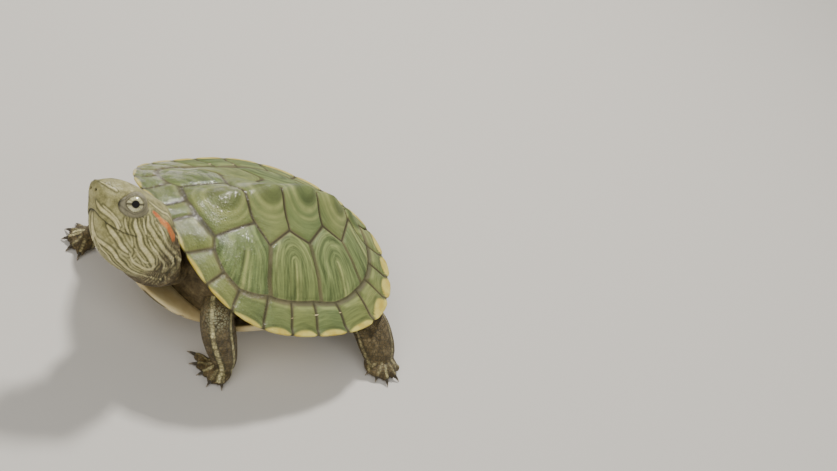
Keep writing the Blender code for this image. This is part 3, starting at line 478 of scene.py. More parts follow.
scute_material, tree, shader = new_material("scute")
place = node(tree, "TexCoord").outputs["Object"]
lines = attribute(tree, "grain", "Vector")
broad, fine = (node(tree, "Group", {"Grain": lines}, node_tree=streaks) for _ in range(2))
broad.inputs["Fineness"].default_value = 0.62
fine.inputs["Fineness"].default_value = 1.9
cloud = noise(tree, place, 70.0, 3.0)
plain = ramp(tree, cloud, (0.35, (0.130, 0.165, 0.062)), (0.50, (0.165, 0.195, 0.066)),
             (0.65, (0.215, 0.235, 0.080)))
green = ramp(tree, broad.outputs["Value"], (0.32, (0.085, 0.110, 0.036)), (0.46, (0.150, 0.185, 0.066)),
             (0.58, (0.190, 0.225, 0.080)), (0.72, (0.270, 0.295, 0.115)))
thin = ramp(tree, fine.outputs["Value"], (0.36, (0.62, 0.64, 0.60)), (0.50, (1.0, 1.0, 1.0)),
            (0.66, (1.34, 1.32, 1.22)))
green = tinted(tree, 0.9, green, thin)
green = blend_colour(tree, attribute(tree, "lined"), plain, green)
hue = node(tree, "TexWhiteNoise", {"W": node(tree, "SeparateXYZ", {0: lines}).outputs["Z"]},
           noise_dimensions="1D").outputs["Value"]
tone = ramp(tree, hue, (0.0, (0.86, 0.96, 0.98)), (0.5, (1.0, 1.0, 1.0)), (1.0, (1.10, 1.04, 0.90)))
green = tinted(tree, 1.0, green, tone)
marking = attribute(tree, "marks", "Vector")
pale_mark, dark_mark, yellow_mark = node(tree, "SeparateXYZ", {0: marking}).outputs
wander = noise(tree, place, 260.0, 3.0)
broken = remap(tree, wander, 0.35, 0.60)
pale_share = product(tree, pale_mark, math_node(tree, "MULTIPLY_ADD", broken, 0.45, 0.35))
dark_share = product(tree, dark_mark, math_node(tree, "MULTIPLY_ADD", broken, 0.35, 0.40))
green = blend_colour(tree, dark_share, green, STREAK_DARK)
green = blend_colour(tree, pale_share, green, STREAK_PALE)
ochre = ramp(tree, wander, (0.35, (0.50, 0.38, 0.065)), (0.60, (0.62, 0.54, 0.13)))
green = blend_colour(tree, yellow_mark, green, ochre)
gap = attribute(tree, "band")
horn = ramp(tree, cloud, (0.38, (0.082, 0.070, 0.034)), (0.62, (0.142, 0.116, 0.060)))
green = blend_colour(tree, product(tree, remap(tree, gap, 1.25, 0.70), 0.80), green, horn)
# Seams darkened: the horn's dark joints with painted shade in the sunken seams and the gutter.
core = product(tree, attribute(tree, "dark_seam"), 0.85)
green = blend_colour(tree, product(tree, remap(tree, gap, 0.75, 0.20), core), green, SEAM_DARK_AND_SHADE)
tree.links.new(green, shader.inputs["Base Color"])
water = {"Place": place, "Water": attribute(tree, "wet")}
wet_film, specks = node(tree, "Group", water, node_tree=wetness).outputs
film = math_node(tree, "MULTIPLY_ADD", specks, 0.10, remap(tree, wet_film, 0.0, 1.0, 0.56, 0.17))
tree.links.new(film, shader.inputs["Roughness"])
from_seam = node(tree, "CombineXYZ", {0: attribute(tree, "seam")}).outputs[0]
growth = node(tree, "TexWave", {"Vector": from_seam, "Scale": 0.32, "Distortion": 1.2, "Detail": 2.0})
height = product(tree, specks, math_node(tree, "MULTIPLY_ADD", wet_film, 1.5, 0.45))
height = math_node(tree, "MULTIPLY_ADD", growth.outputs["Fac"], 0.10, height)
height = math_node(tree, "MULTIPLY_ADD", fine.outputs["Value"], 0.5, height)
bump = node(tree, "Bump", {"Height": height, "Strength": 0.55, "Distance": 0.0002})
tree.links.new(bump.outputs[0], shader.inputs["Normal"])
tree.links.new(bump.outputs[0], shader.inputs["Coat Normal"])
shader.inputs["Specular IOR Level"].default_value = 0.30
tree.links.new(wet_film, shader.inputs["Coat Weight"])
shader.inputs["Coat Roughness"].default_value = 0.07


def ring_faces(count, columns):
    """Quads of a tube of rings, and the triangle fans that close both ends on two last points."""
    ring, column = np.meshgrid(np.arange(count - 1), np.arange(columns), indexing="ij")
    here, beside = ring * columns + column, ring * columns + (column + 1) % columns
    quads = np.stack([here, beside, beside + columns, here + columns], axis=-1).reshape(-1, 4)
    column = np.arange(columns)
    beside = (column + 1) % columns
    start, end = np.full(columns, count * columns), np.full(columns, count * columns + 1)
    last = (count - 1) * columns
    fans = np.concatenate([np.stack([start, beside, column], axis=-1),
                           np.stack([end, last + column, last + beside], axis=-1)])
    return quads, fans


def closed_tube(rings):
    """Points of the rings and of the two middles that close them."""
    return np.concatenate([rings.reshape(-1, 3), rings[[0, -1]].mean(axis=1)])


def faces_out(points, quads, fans):
    """Whether a closed surface faces outwards: its volume, the sum of a . (b x c), is positive."""
    corners = points[np.concatenate([quads[:, :3], quads[:, [0, 2, 3]], fans])]
    return np.einsum("ij,ij->i", corners[:, 0], np.cross(corners[:, 1], corners[:, 2])).sum() > 0


def add_piece(name, points, quads, fans, material, **marks):
    """Object over points in mm, facing out, with a named value or vector kept at each point."""
    mesh = bpy.data.meshes.new(name)
    mesh.from_pydata((points * MM).tolist(), [], quads.tolist() + fans.tolist())
    if not faces_out(points, quads, fans):
        mesh.flip_normals()
    mesh.shade_smooth()
    for mark, values in marks.items():
        vector = np.ndim(values) == 2
        kept = mesh.attributes.new(mark, "FLOAT_VECTOR" if vector else "FLOAT", "POINT")
        kept.data.foreach_set("vector" if vector else "value", np.ravel(values).astype(np.float32))
    mesh.materials.append(material)
    made = bpy.data.objects.new(name, mesh)
    bpy.context.scene.collection.objects.link(made)
    return made


quads, fans = ring_faces(len(rings), SHELL_COLUMNS)
carapace = add_piece("carapace_scutes", shell_to_row(closed_tube(rings)), quads, fans, scute_material,
                     seam=spread(seam, 3.0), band=spread(band, None), grain=spread(grain, None),
                     marks=spread(marks, None), lined=spread(lined, None), dark_seam=spread(dark_seam, None),
                     wet=spread(wet, 0.0))
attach(carapace, "root")
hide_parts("carapace")


# ---------------------------------------------------------------------------------------------------
# Plastron. The flat lower shell with a bridge rising on each side, of twelve yellow scutes in pairs, each
# smudged dark in its middle. It is bone with thin horn over it, like the carapace.
PLASTRON_LEVEL = -17.9
PLASTRON_ENDS = (-40.5, 41.0)
LOBE_HALF_WIDTH = 21.0
LOBE_FULLNESS = 3.2                        # power that squares the lobes' outline
PLASTRON_UPTURN = 1.6                      # both lobes lift a little at their ends
UPTURN_START = 24.0
UPTURN_LENGTH = 16.0
BRIDGE_ENDS = (-16.5, 17.0)
BRIDGE_HALF_WIDTH = 32.6
BRIDGE_STEP = 3.2                          # length over which a lobe widens into the bridge
BRIDGE_BEND = 0.6                          # share of the bridge's half width where it starts to curve up
BRIDGE_CURVE = 1.7
BRIDGE_CLEARANCE = 0.8                     # between the bridge's top and the carapace
PLASTRON_WALL = 2.0
PLASTRON_SEAMS = ((-31.0, 1), (-21.0, -1), (-5.0, 1), (13.0, -1), (26.5, 1))     # place, and way it bows
CROSS_BOW = 0.004
FLANK_SEAM = 22.5                          # between the plates and the bridge's marginals
FLANK_BOW = 0.01
PLATE_SEAM_DEPTH = 0.30
PLATE_SEAM_HALF_WIDTH = 0.45
BLOTCH_PLACES = np.array([-36.0, -26.0, -13.0, 4.0, 20.0, 33.0])
BLOTCH_SIDE = 10.0
BLOTCH_SIZE = (6.0, 4.6)
BLOTCH_DARK = (0.045, 0.040, 0.022)
PLATE_SEAM_DARK = (0.10, 0.07, 0.035)
PLASTRON_ROWS = 150
PLASTRON_ACROSS = 130


def plastron_half_width(y):
    """Half width of the plate: a squared oval lobe, widened to the bridges by two soft steps."""
    along = (y - PLASTRON_ENDS[0]) / (PLASTRON_ENDS[1] - PLASTRON_ENDS[0])
    lobe = LOBE_HALF_WIDTH * np.sqrt(np.clip(1 - np.abs(2 * along - 1) ** LOBE_FULLNESS, 0, 1))
    inside = 1 / (1 + np.exp(-(y - BRIDGE_ENDS[0]) / BRIDGE_STEP * 3.0))
    inside = inside / (1 + np.exp((y - BRIDGE_ENDS[1]) / BRIDGE_STEP * 3.0))
    return lobe + (BRIDGE_HALF_WIDTH - lobe) * inside


def plastron_height(x, y):
    """Height of the underside: flat, its ends lifted, its bridges climbing to the carapace as s^c."""
    past_bend = np.maximum(np.abs(x) / BRIDGE_HALF_WIDTH, BRIDGE_BEND) - BRIDGE_BEND
    climb = (past_bend / (1 - BRIDGE_BEND)) ** BRIDGE_CURVE
    x_edge = BRIDGE_HALF_WIDTH * np.where(x < 0, -1.0, 1.0)
    top = dome(x_edge, y) - SHELL_WALL * dome_steepness(x_edge, y) - BRIDGE_CLEARANCE
    ends = PLASTRON_UPTURN * np.clip((np.abs(y) - UPTURN_START) / UPTURN_LENGTH, 0, 1) ** 2
    return PLASTRON_LEVEL + ends + climb * (top - PLASTRON_LEVEL)


lean = np.sin(np.linspace(-1, 1, PLASTRON_ROWS) * 1.555)
row_y = sum(PLASTRON_ENDS) / 2 + (PLASTRON_ENDS[1] - PLASTRON_ENDS[0]) / 2 * lean
turn = 2 * math.pi * (np.arange(2 * PLASTRON_ACROSS) + 0.5) / (2 * PLASTRON_ACROSS)
across_share = np.sign(np.cos(turn)) * np.abs(np.cos(turn)) ** 0.8
upper = np.sin(turn) > 0
plate_x = across_share[None, :] * plastron_half_width(row_y)[:, None]
plate_y = np.broadcast_to(row_y[:, None], plate_x.shape)
low = plastron_height(plate_x, plate_y)
slope_x = plastron_height(plate_x + 0.5, plate_y) - plastron_height(plate_x - 0.5, plate_y)
wall = PLASTRON_WALL * np.clip(np.sqrt(1 + slope_x ** 2), 1, 2.2)
rounding = (1 - np.abs(across_share[None, :]) ** 16) ** 0.5 * (1 - np.abs(lean[:, None]) ** 30) ** 0.5
middle_height = low + wall / 2
plate_z = middle_height + np.where(upper, 1.0, -1.0) * wall / 2 * rounding
bow = CROSS_BOW * plate_x ** 2
cross = np.min([np.abs(plate_y - line - bow * way) for line, way in PLASTRON_SEAMS], axis=0)
flank = np.abs(np.abs(plate_x) - FLANK_SEAM - FLANK_BOW * plate_y ** 2)
plate_seam = np.minimum(np.minimum(cross, np.abs(plate_x)), flank)
plate_z = plate_z + np.where(upper, 0.0, PLATE_SEAM_DEPTH) * fading(plate_seam, 0.0, PLATE_SEAM_HALF_WIDTH)
plate_number = np.sum([plate_y > line for line, _ in PLASTRON_SEAMS], axis=0)
blotch = np.hypot((np.abs(plate_x) - BLOTCH_SIDE) / BLOTCH_SIZE[0],
                  (plate_y - BLOTCH_PLACES[plate_number]) / BLOTCH_SIZE[1])
plate_rings = np.stack([plate_x, plate_y, plate_z], axis=-1)

plastron_material, tree, shader = new_material("plastron")
place = node(tree, "TexCoord").outputs["Object"]
cloud = noise(tree, place, 120.0, 4.0)
cream = ramp(tree, cloud, (0.3, (0.46, 0.34, 0.15)), (0.55, (0.60, 0.49, 0.25)), (0.75, (0.66, 0.57, 0.33)))
smudge = remap(tree, math_node(tree, "MULTIPLY_ADD", cloud, 1.6, attribute(tree, "blotch")), 1.85, 1.45)
cream = blend_colour(tree, product(tree, smudge, 0.85), cream, BLOTCH_DARK)
line = remap(tree, attribute(tree, "seam"), 0.6, 0.15)
cream = blend_colour(tree, product(tree, line, 0.7), cream, PLATE_SEAM_DARK)
tree.links.new(cream, shader.inputs["Base Color"])
shader.inputs["Roughness"].default_value = 0.42
bump = node(tree, "Bump", {"Height": noise(tree, place, 900.0, 3.0), "Strength": 0.25, "Distance": 0.0002})
tree.links.new(bump.outputs[0], shader.inputs["Normal"])


def with_ends(values):
    """Values of a grid of rings with those of its two closing points."""
    return np.concatenate([values.reshape(-1, *values.shape[2:]), values[[0, -1], 0]])


quads, fans = ring_faces(PLASTRON_ROWS, 2 * PLASTRON_ACROSS)
plastron = add_piece("plastron_scutes", shell_to_row(closed_tube(plate_rings)), quads, fans,
                     plastron_material, seam=with_ends(np.where(upper, 3.0, plate_seam)),
                     blotch=with_ends(np.where(upper, 3.0, blotch)))
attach(plastron, "root")
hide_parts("plastron")


# ---------------------------------------------------------------------------------------------------
# Skin. One soft hide over the whole body between the shells: smooth horny skin on the head, loose folds on
# the neck, and granular scales on the legs, feet and tail. It is modelled as sweeps over the same sizes as
# the part's flesh, and carries the stripes, the lids, the mouth and the red patch behind the eye.
HEAD_CENTRE = np.array([3.4, -59.2, 49.5])
HEAD_TURN = (Matrix.Rotation(math.radians(-15.0), 3, "Z") @ Matrix.Rotation(math.radians(-26.0), 3, "X")
             @ Matrix.Rotation(math.radians(-36.0), 3, "Y"))
HEAD_LEFT, HEAD_FORWARD, HEAD_UP = (np.array(HEAD_TURN @ Vector(axis))
                                    for axis in ((1, 0, 0), (0, -1, 0), (0, 0, 1)))
HEAD_SECTIONS = (                          # forward, half width, middle, top, bottom
    (9.7, 1.4, 2.0, 2.7, 1.3), (9.35, 2.1, 1.7, 3.3, 0.2), (8.6, 2.7, 0.8, 3.8, -1.4),
    (7.1, 3.3, -0.4, 4.6, -4.1), (5.6, 4.0, -1.2, 5.2, -6.6), (3.8, 4.9, -2.0, 5.8, -9.0),
    (1.5, 5.8, -2.8, 6.3, -11.2), (-1.2, 6.7, -3.5, 6.5, -13.0), (-4.6, 7.7, -4.1, 6.5, -14.4),
    (-8.7, 8.7, -4.5, 6.2, -15.1), (-12.7, 9.4, -4.8, 5.3, -15.2))
NECK_PLACES = ((8.4, -47.1, 33.8), (5.4, -42.2, 28.0), (3.2, -35.8, 25.2), (1.0, -27.0, 24.0))
NECK_HALF_WIDTHS = (10.0, 8.8, 9.0, 10.4)
NECK_HALF_HEIGHTS = (8.1, 6.2, 6.2, 6.6)
NECK_FOLDS = ((2.7, 1.8, 0.0, 0.30), (1.15, 4.0, 1.3, 0.10))      # length, drift, phase, height
FOLD_DRIFTS = ((2.0, 0.6, 0.55), (5.0, 1.9, 0.30), (11.0, 0.0, 0.15))     # turns, phase, strength
NECK_LOOSE = (-12.0, -19.0)                # where the folds start, and where they are full
NECK_UNROLL = 1.5                          # how soon the neck loses the head's roll
HEAD_SQUARENESS = 0.9
HEAD_COLUMNS = 224
HEAD_RINGS = 230
EYE_PLACE = (4.4, -1.1, 1.5)               # left, forward, up
EYE_TURN = math.radians(28.0)              # the eyes look a little ahead
EYE_RADIUS = 3.2
LID_TILT = math.radians(-22.0)             # the lids' front corner is the lower one
LID_OPENING = (math.radians(43.0), math.radians(36.0))      # along and across, from the eye's middle
LID_CORNER_POWER = 1.55                    # below 2 the opening is an almond
LID_RADIUS = 3.55
LID_RING = (4.2, 3.0)                      # the fold round both lids, along and across
LID_RING_DROP = 0.5
LID_EDGE = (0.93, 1.08)                    # in widths of the opening, as the next two
LID_FOLD = (1.36, 0.08, 0.13)              # place, width, depth
LID_END = (2.1, 3.0)
LID_GROOVE = (1.0, 0.055)                  # place and width, in widths of the ring
LID_GROOVE_DEPTH = 0.20
NOSTRIL = (1.10, 9.1, 0.70)
NOSTRIL_RADIUS = 0.42
NOSTRIL_DEPTH = 0.5
NOSTRIL_LIP = (0.7, 0.25, 0.12)            # place, width, height
SNOUT_START = (7.6, 8.4)
BROW_RIDGE = ((9.3, 44), (8.6, 42), (7.2, 40), (5.2, 41), (3.6, 36), (1.6, 30), (-1.5, 27))   # as STRIPES
BROW_RIDGE_WIDTH = 0.55
BROW_RIDGE_HEIGHT = 0.20
CHEEK = ((4.8, 1.8), (-1.6, 1.5, 0.25))    # forward and up: place, spread; depth
EAR_DRUM = (-8.6, -1.2, 2.3)               # forward, up, radius
EAR_DRUM_HEIGHT = 0.18
EAR_RING = (0.35, 0.3, 0.14)               # place from the drum's edge, width, depth
MOUTH_CORNER = (-5.2, -4.0)
MOUTH_GROOVE = (0.22, 0.34)                # half width, depth
BEAK_STEP = (0.10, -0.22, 1.1)             # the beak stands out, the jaw sinks, over this height
MOUTH_LINE = ((9.0, -3.5), (8.0, -4.0), (7.0, -4.5), (5.8, -5.4), (3.8, -6.2), (1.5, -6.5), (-1.2, -6.5),
              (-4.5, -5.9))                # forward, up
# Pale stripes of the head and throat: half width at the start and the end, then places as forward and
# degrees from the crown. The first four lead, and the fine lines run beside them.
STRIPES = (
    ((0.46, 0.66), ((-1.9, 76), (-2.7, 89), (-4.6, 99), (-6.2, 110), (-8.5, 115), (-10.8, 119),
                    (-12.8, 126))),
    ((0.40, 0.46), ((-4.9, 59), (-5.7, 73), (-7.3, 80), (-9.0, 86), (-10.9, 92), (-12.9, 96), (-16.3, 101),
                    (-19.2, 108), (-20.2, 121), (-19.6, 133))),
    ((0.46, 0.36), ((6.2, 180), (4.0, 178), (2.4, 175), (1.2, 165), (-0.4, 157), (-2.3, 154), (-4.3, 156),
                    (-6.4, 156), (-8.9, 158), (-11.3, 156), (-13.8, 153), (-20.0, 150))),
    ((0.46, 0.40), ((3.3, 137), (0.9, 134), (-0.8, 134), (-2.4, 136), (-4.6, 135))),
    ((0.62, 0.16), ((-12.4, 124), (-13.6, 131), (-12.4, 137), (-10.4, 139), (-8.6, 141), (-7.1, 140),
                    (-5.0, 134))),
    ((0.14, 0.16), ((-5.4, 123), (-6.6, 125), (-8.3, 128), (-9.9, 129), (-10.9, 126))),
    ((0.30, 0.24), ((2.0, 176), (-0.7, 171), (-2.4, 168), (-4.3, 170), (-8.0, 171), (-14.0, 170))),
    ((0.18, 0.24), ((-7.4, 95), (-9.3, 103), (-11.2, 106), (-13.0, 111), (-15.5, 116), (-17.2, 125),
                    (-17.2, 135))),
    ((0.24, 0.20), ((0.7, 90), (-0.5, 102), (-1.8, 108))),
    ((0.30, 0.34), ((7.9, 143), (7.0, 136), (4.9, 119), (2.8, 113), (1.3, 117), (0.6, 122))),
    ((0.12, 0.16), ((6.6, 118), (4.6, 108), (2.6, 106), (0.8, 110))),
    ((0.16, 0.16), ((-3.7, 66), (-5.1, 81), (-6.3, 90))),
    ((0.14, 0.24), ((-7.5, 62), (-9.3, 69), (-11.0, 80), (-13.9, 87), (-17.4, 90), (-21.8, 100),
                    (-28.0, 110))),
    ((0.16, 0.24), ((-4.4, 33), (-7.0, 38), (-9.5, 41), (-12.1, 46), (-16.0, 50), (-22.0, 56))),
    ((0.16, 0.18), ((9.2, 47), (8.8, 42), (7.5, 39), (5.7, 41), (5.0, 42))),
    ((0.14, 0.20), ((-3.0, 12), (-8.0, 16), (-13.0, 20), (-20.0, 24))),
)
LEADING_STRIPES = 4
STRIPE_EDGE = (0.13, -0.10)                # softness, out from and in from its half width
STRIPE_BORDER = (0.30, 0.20)               # place out from its half width, and width
FINE_LINE_STEP = 0.92
FINE_LINE_REACH = (3.6, 2.6)               # fades out this far from a leading stripe
RED_PATCH = ((0.40, 1.25), ((-6.2, 48), (-7.5, 51), (-9.0, 56), (-11.1, 62), (-13.5, 66), (-14.6, 67)))
RED_EDGE = (0.15, -0.20)
RED_BORDER = (0.30, 0.22)
ELBOWS = ((25.6, -28.6, 22.0), (-24.0, -32.6, 22.0))     # pale scales over the bend of each foreleg, with a painted highlight on them
ELBOW_SPREAD = 3.3
LIMBS = {                                  # path from the trunk to the wrist or ankle, widths and depths
    "foreleg_left": ((12.0, -19.0, 22.0), (18.5, -24.0, 22.5), (24.2, -27.0, 18.8), (27.2, -24.8, 12.5),
                     (29.1, -22.2, 7.0), (30.0, -21.4, 3.6)),
    "foreleg_right": ((-12.0, -19.0, 22.0), (-17.5, -25.0, 22.5), (-22.3, -30.4, 18.8), (-25.2, -33.4, 12.5),
                      (-26.8, -35.2, 7.0), (-27.6, -36.1, 3.6)),
    "hindleg_left": ((14.0, 21.0, 12.5), (22.0, 26.0, 13.0), (30.2, 29.4, 11.5), (35.2, 30.8, 8.2),
                     (38.4, 31.9, 5.2), (40.4, 32.6, 2.8)),
    "hindleg_right": ((-14.0, 21.0, 12.5), (-21.5, 27.5, 13.0), (-28.8, 33.6, 11.5), (-33.0, 37.4, 8.2),
                      (-35.5, 39.8, 5.2), (-37.2, 41.4, 2.8)),
}
LIMB_SIZES = {"fore": ((9.0, 9.8, 10.6, 10.2, 7.8, 6.2), (8.5, 8.5, 7.8, 6.8, 5.4, 4.2)),
              "hind": ((11.5, 12.8, 13.4, 13.4, 12.0, 9.6), (9.0, 8.6, 7.8, 6.8, 5.2, 3.4))}
TAIL = ((0.0, 32.0, 11.0), (0.4, 40.0, 10.6), (-0.4, 46.0, 8.6), (-2.6, 51.0, 6.0), (-6.2, 55.4, 3.6),
        (-10.0, 58.6, 1.9))
TAIL_RADII = (5.6, 5.0, 3.7, 2.4, 1.5, 0.8)
LIMB_RINGS = 34
LIMB_COLUMNS = 36
TAIL_RINGS = 40
TAIL_COLUMNS = 28
FEET = {                                   # middle of the palm, and where the five toes' tips or claws end
    "forefoot_left": ((29.4, -22.7),
                      ((18.9, -27.0), (23.4, -29.0), (28.0, -29.0), (32.8, -28.3), (35.2, -24.2))),
    "forefoot_right": ((-27.8, -37.6),
                       ((-21.4, -43.2), (-25.8, -44.8), (-30.6, -44.0), (-34.4, -40.8), (-36.2, -36.2))),
    "hindfoot_left": ((39.8, 32.2),
                      ((41.6, 26.0), (45.0, 27.8), (47.65, 31.2), (46.9, 36.4), (43.6, 41.0))),
    "hindfoot_right": ((-36.8, 41.2),
                       ((-44.0, 37.8), (-45.6, 42.8), (-44.4, 47.6), (-40.6, 50.4), (-35.8, 50.2))),
}
LIMB_STRIPES = {                           # strength, then angle outwards from the front edge, half width
    "fore": (1.0, ((0.63, 0.50), (2.13, 0.38), (-1.3, 0.36), (-2.5, 0.32))),
    "rest": (0.55, ((0.10, 0.34), (2.60, 0.30), (-1.6, 0.30))),
}
LIMB_STRIPE_EDGE = (0.16, -0.12)
LIMB_STRIPE_BORDER = (0.34, 0.20)
LIMB_REACH = 7.6                           # skin this near a limb's path is that limb's
ANKLE_HEIGHT = 2.2                         # the stripes end above the foot
STRIPE_BEAD = 1.15                         # the stripes are rows of pale scales this far apart
TOE_STRIPES = (0.32, 0.32, 0.70, 0.32, 0.32)       # strength of the pale line down each toe
TOE_STRIPE_EDGE = (0.50, 0.28)
PALM_HEIGHT = 1.9
PALMS = {"fore": (3.9, 4.9, 2.5), "hind": (4.8, 6.0, 2.5)}     # half length, half width, half height
PALM_RISE = 0.35                           # the heel stands this much over the palm
TOE_RADIUS = 1.35
TOE_FLATNESS = 0.94
TOE_RINGS = 18
KNUCKLE_SHARE = 0.42
CLAW_SHARE = 0.42
WEB_REACH = {"fore": 0.56, "hind": 0.72}   # share of the toes' length
WEB_DIP = 0.22                             # how far its edge falls back between two toes
WEB_HALF_THICKNESS = 0.5
TRUNK_REACH = 0.84                         # share of the shell's rim
TRUNK_BRIDGE_REACH = 22.8                  # less where the bridges stand
TRUNK_BRIDGE_LENGTH = 14.0
TRUNK_BRIDGE_FADE = 6.0
TRUNK_TOP_CLEARANCE = 0.8
TRUNK_LOW_CLEARANCE = 1.7
TRUNK_RINGS = ((0.02, 0.0), (0.11, 0.0), (0.26, 0.0), (0.45, 0.0), (0.75, 0.0), (1.0, 0.0), (0.99, 0.25),
               (0.97, 0.5), (0.93, 0.75), (0.86, 1.0), (0.5, 1.0), (0.02, 1.0))      # share out, share down
TRUNK_COLUMNS = 96
LID_COLOUR = (0.245, 0.225, 0.140)
BORDER_COLOUR = (0.040, 0.042, 0.020)
# painted shade in the mouth's groove, the nostril pits and the lids' folds
GROOVE_SHADE_COLOUR = (0.022, 0.020, 0.012)
# painted shade in the creases between the scales
CREASE_SHADE_COLOUR = (0.020, 0.019, 0.012)
# pale scales of the elbows, lightened further as a painted highlight
FROST_AND_GLINT_COLOUR = (0.40, 0.40, 0.25)
SKIN_VOXEL = 0.44


def in_head(left, forward, up):
    """Place along the head's own axes, in the row's frame: centre + l left + f forward + u up."""
    left, forward, up = (np.asarray(part, dtype=float)[..., None] for part in (left, forward, up))
    return HEAD_CENTRE - CENTRE + left * HEAD_LEFT + forward * HEAD_FORWARD + up * HEAD_UP


def oval(centre, side, up, half_width, top, bottom, count, squareness=1.0):
    """Ring c + s w sgn(cos a)|cos a|^q + u h sgn(sin a)|sin a|^q, its upper and lower heights apart."""
    angle = 2 * math.pi * (np.arange(count) + 0.5) / count
    across = np.sign(np.cos(angle)) * np.abs(np.cos(angle)) ** squareness
    along = np.sign(np.sin(angle)) * np.abs(np.sin(angle)) ** squareness
    height = np.where(along > 0, top, bottom) * along
    return np.asarray(centre, dtype=float) + np.outer(across * half_width, side) + np.outer(height, up)


def chart_distance(forward, crown_angle, distance_out, line):
    """Distance on the skin from a line of (forward, degrees from the crown), and the share along it."""
    line = np.array([(f, math.radians(a)) for f, a in line])
    path = smooth_path(line, 5 * len(line))
    best, share = np.full(forward.shape, 1e9), np.zeros(forward.shape)
    for number, ((f0, a0), (f1, a1)) in enumerate(zip(path[:-1], path[1:])):
        step_f, step_a = f1 - f0, (a1 - a0) * distance_out
        size = step_f ** 2 + step_a ** 2 + 1e-9
        here_f, here_a = forward - f0, (crown_angle - a0) * distance_out
        along = np.clip((here_f * step_f + here_a * step_a) / size, 0, 1)
        apart = np.hypot(here_f - along * step_f, here_a - along * step_a)
        share = np.where(apart < best, (number + along) / (len(path) - 1), share)
        best = np.minimum(best, apart)
    return best, share


# The head and neck are one sweep through the head's sections and the neck's rings.
controls = [oval(in_head(0.0, ahead, level), HEAD_LEFT, HEAD_UP, half_width, top - level, level - bottom,
                 HEAD_COLUMNS, HEAD_SQUARENESS) for ahead, half_width, level, top, bottom in HEAD_SECTIONS]
neck_centres = np.array(NECK_PLACES) - CENTRE
headings = np.gradient(np.vstack([in_head(0.0, HEAD_SECTIONS[-1][0], -5.0), neck_centres]), axis=0)[1:]
centres = [in_head(0.0, section[0], section[2]) for section in HEAD_SECTIONS] + list(neck_centres)
for number, (spot, heading) in enumerate(zip(neck_centres, headings)):
    share = min(1.0, NECK_UNROLL * (number + 1) / len(neck_centres))
    along = heading / np.linalg.norm(heading)
    side = HEAD_LEFT * (1 - share) + np.array([1.0, 0.0, 0.0]) * share
    side = side - along * np.dot(side, along)
    side /= np.linalg.norm(side)
    width, height = NECK_HALF_WIDTHS[number], NECK_HALF_HEIGHTS[number]
    controls.append(oval(spot, side, np.cross(side, along), width, height, height, HEAD_COLUMNS))
head_rings = smooth_path(controls, HEAD_RINGS)
head_middles = smooth_path(np.array(centres), HEAD_RINGS)[:, None, :]
angle = 2 * math.pi * (np.arange(HEAD_COLUMNS) + 0.5) / HEAD_COLUMNS
left, forward, up = ((head_rings - (HEAD_CENTRE - CENTRE)) @ axis
                     for axis in (HEAD_LEFT, HEAD_FORWARD, HEAD_UP))
outward = (head_rings - head_middles) / np.linalg.norm(head_rings - head_middles, axis=-1)[..., None]
sections = np.array(HEAD_SECTIONS)[::-1]
rise = up - np.interp(forward, sections[:, 0], sections[:, 2])
crown_angle, distance_out = np.arctan2(np.abs(left), rise), np.hypot(left, rise)

# Mouth: a sharp groove, with the upper beak standing a little over the lower jaw.
mouth_gap = segment_distance(forward, up, MOUTH_LINE)[0]
below = up < np.interp(-forward, -np.array(MOUTH_LINE)[:, 0], np.array(MOUTH_LINE)[:, 1])
mouth_fade = smooth(*MOUTH_CORNER, forward)
step = np.where(below, BEAK_STEP[1], BEAK_STEP[0]) * fading(mouth_gap, 0.0, BEAK_STEP[2])
push = (step - fading(mouth_gap, 0.0, *MOUTH_GROOVE)) * mouth_fade
# Snout: nostril pits, the ridge that runs from the brow to the nose, and the dip of the cheek below it.
nostril_gap = np.sqrt((np.abs(left) - NOSTRIL[0]) ** 2 + 0.2 * (forward - NOSTRIL[1]) ** 2
                      + (up - NOSTRIL[2]) ** 2)
on_snout = smooth(*SNOUT_START, forward)
nostril = np.exp(-(nostril_gap / NOSTRIL_RADIUS) ** 4) * on_snout
ridge, ridge_share = chart_distance(forward, crown_angle, distance_out, BROW_RIDGE)
push = push + fading(nostril_gap, *NOSTRIL_LIP) * on_snout
push = push + fading(ridge, 0.0, BROW_RIDGE_WIDTH, BROW_RIDGE_HEIGHT) * smooth(1.0, 0.8, ridge_share)
push = push - fading(forward, *CHEEK[0]) * fading(up, *CHEEK[1])
# The drum of the ear, with a shallow ring round it.
drum = np.hypot(forward - EAR_DRUM[0], up - EAR_DRUM[1]) - EAR_DRUM[2]
push = push + fading(np.clip(drum, 0, None), 0.0, 0.5, EAR_DRUM_HEIGHT) - fading(drum, *EAR_RING)
# Neck: loose folds that run round it, deeper towards the shell, broken by a slow drift.
drift = sum(strength * np.sin(turns * angle + phase) for turns, phase, strength in FOLD_DRIFTS)
folds = sum(height * np.sin(2 * math.pi * forward / length + drift * wander + phase)
            for length, wander, phase, height in NECK_FOLDS)
push = push + smooth(*NECK_LOOSE, forward) * (folds - 0.14)
head_rings = head_rings + push[..., None] * outward - NOSTRIL_DEPTH * nostril[..., None] * HEAD_FORWARD
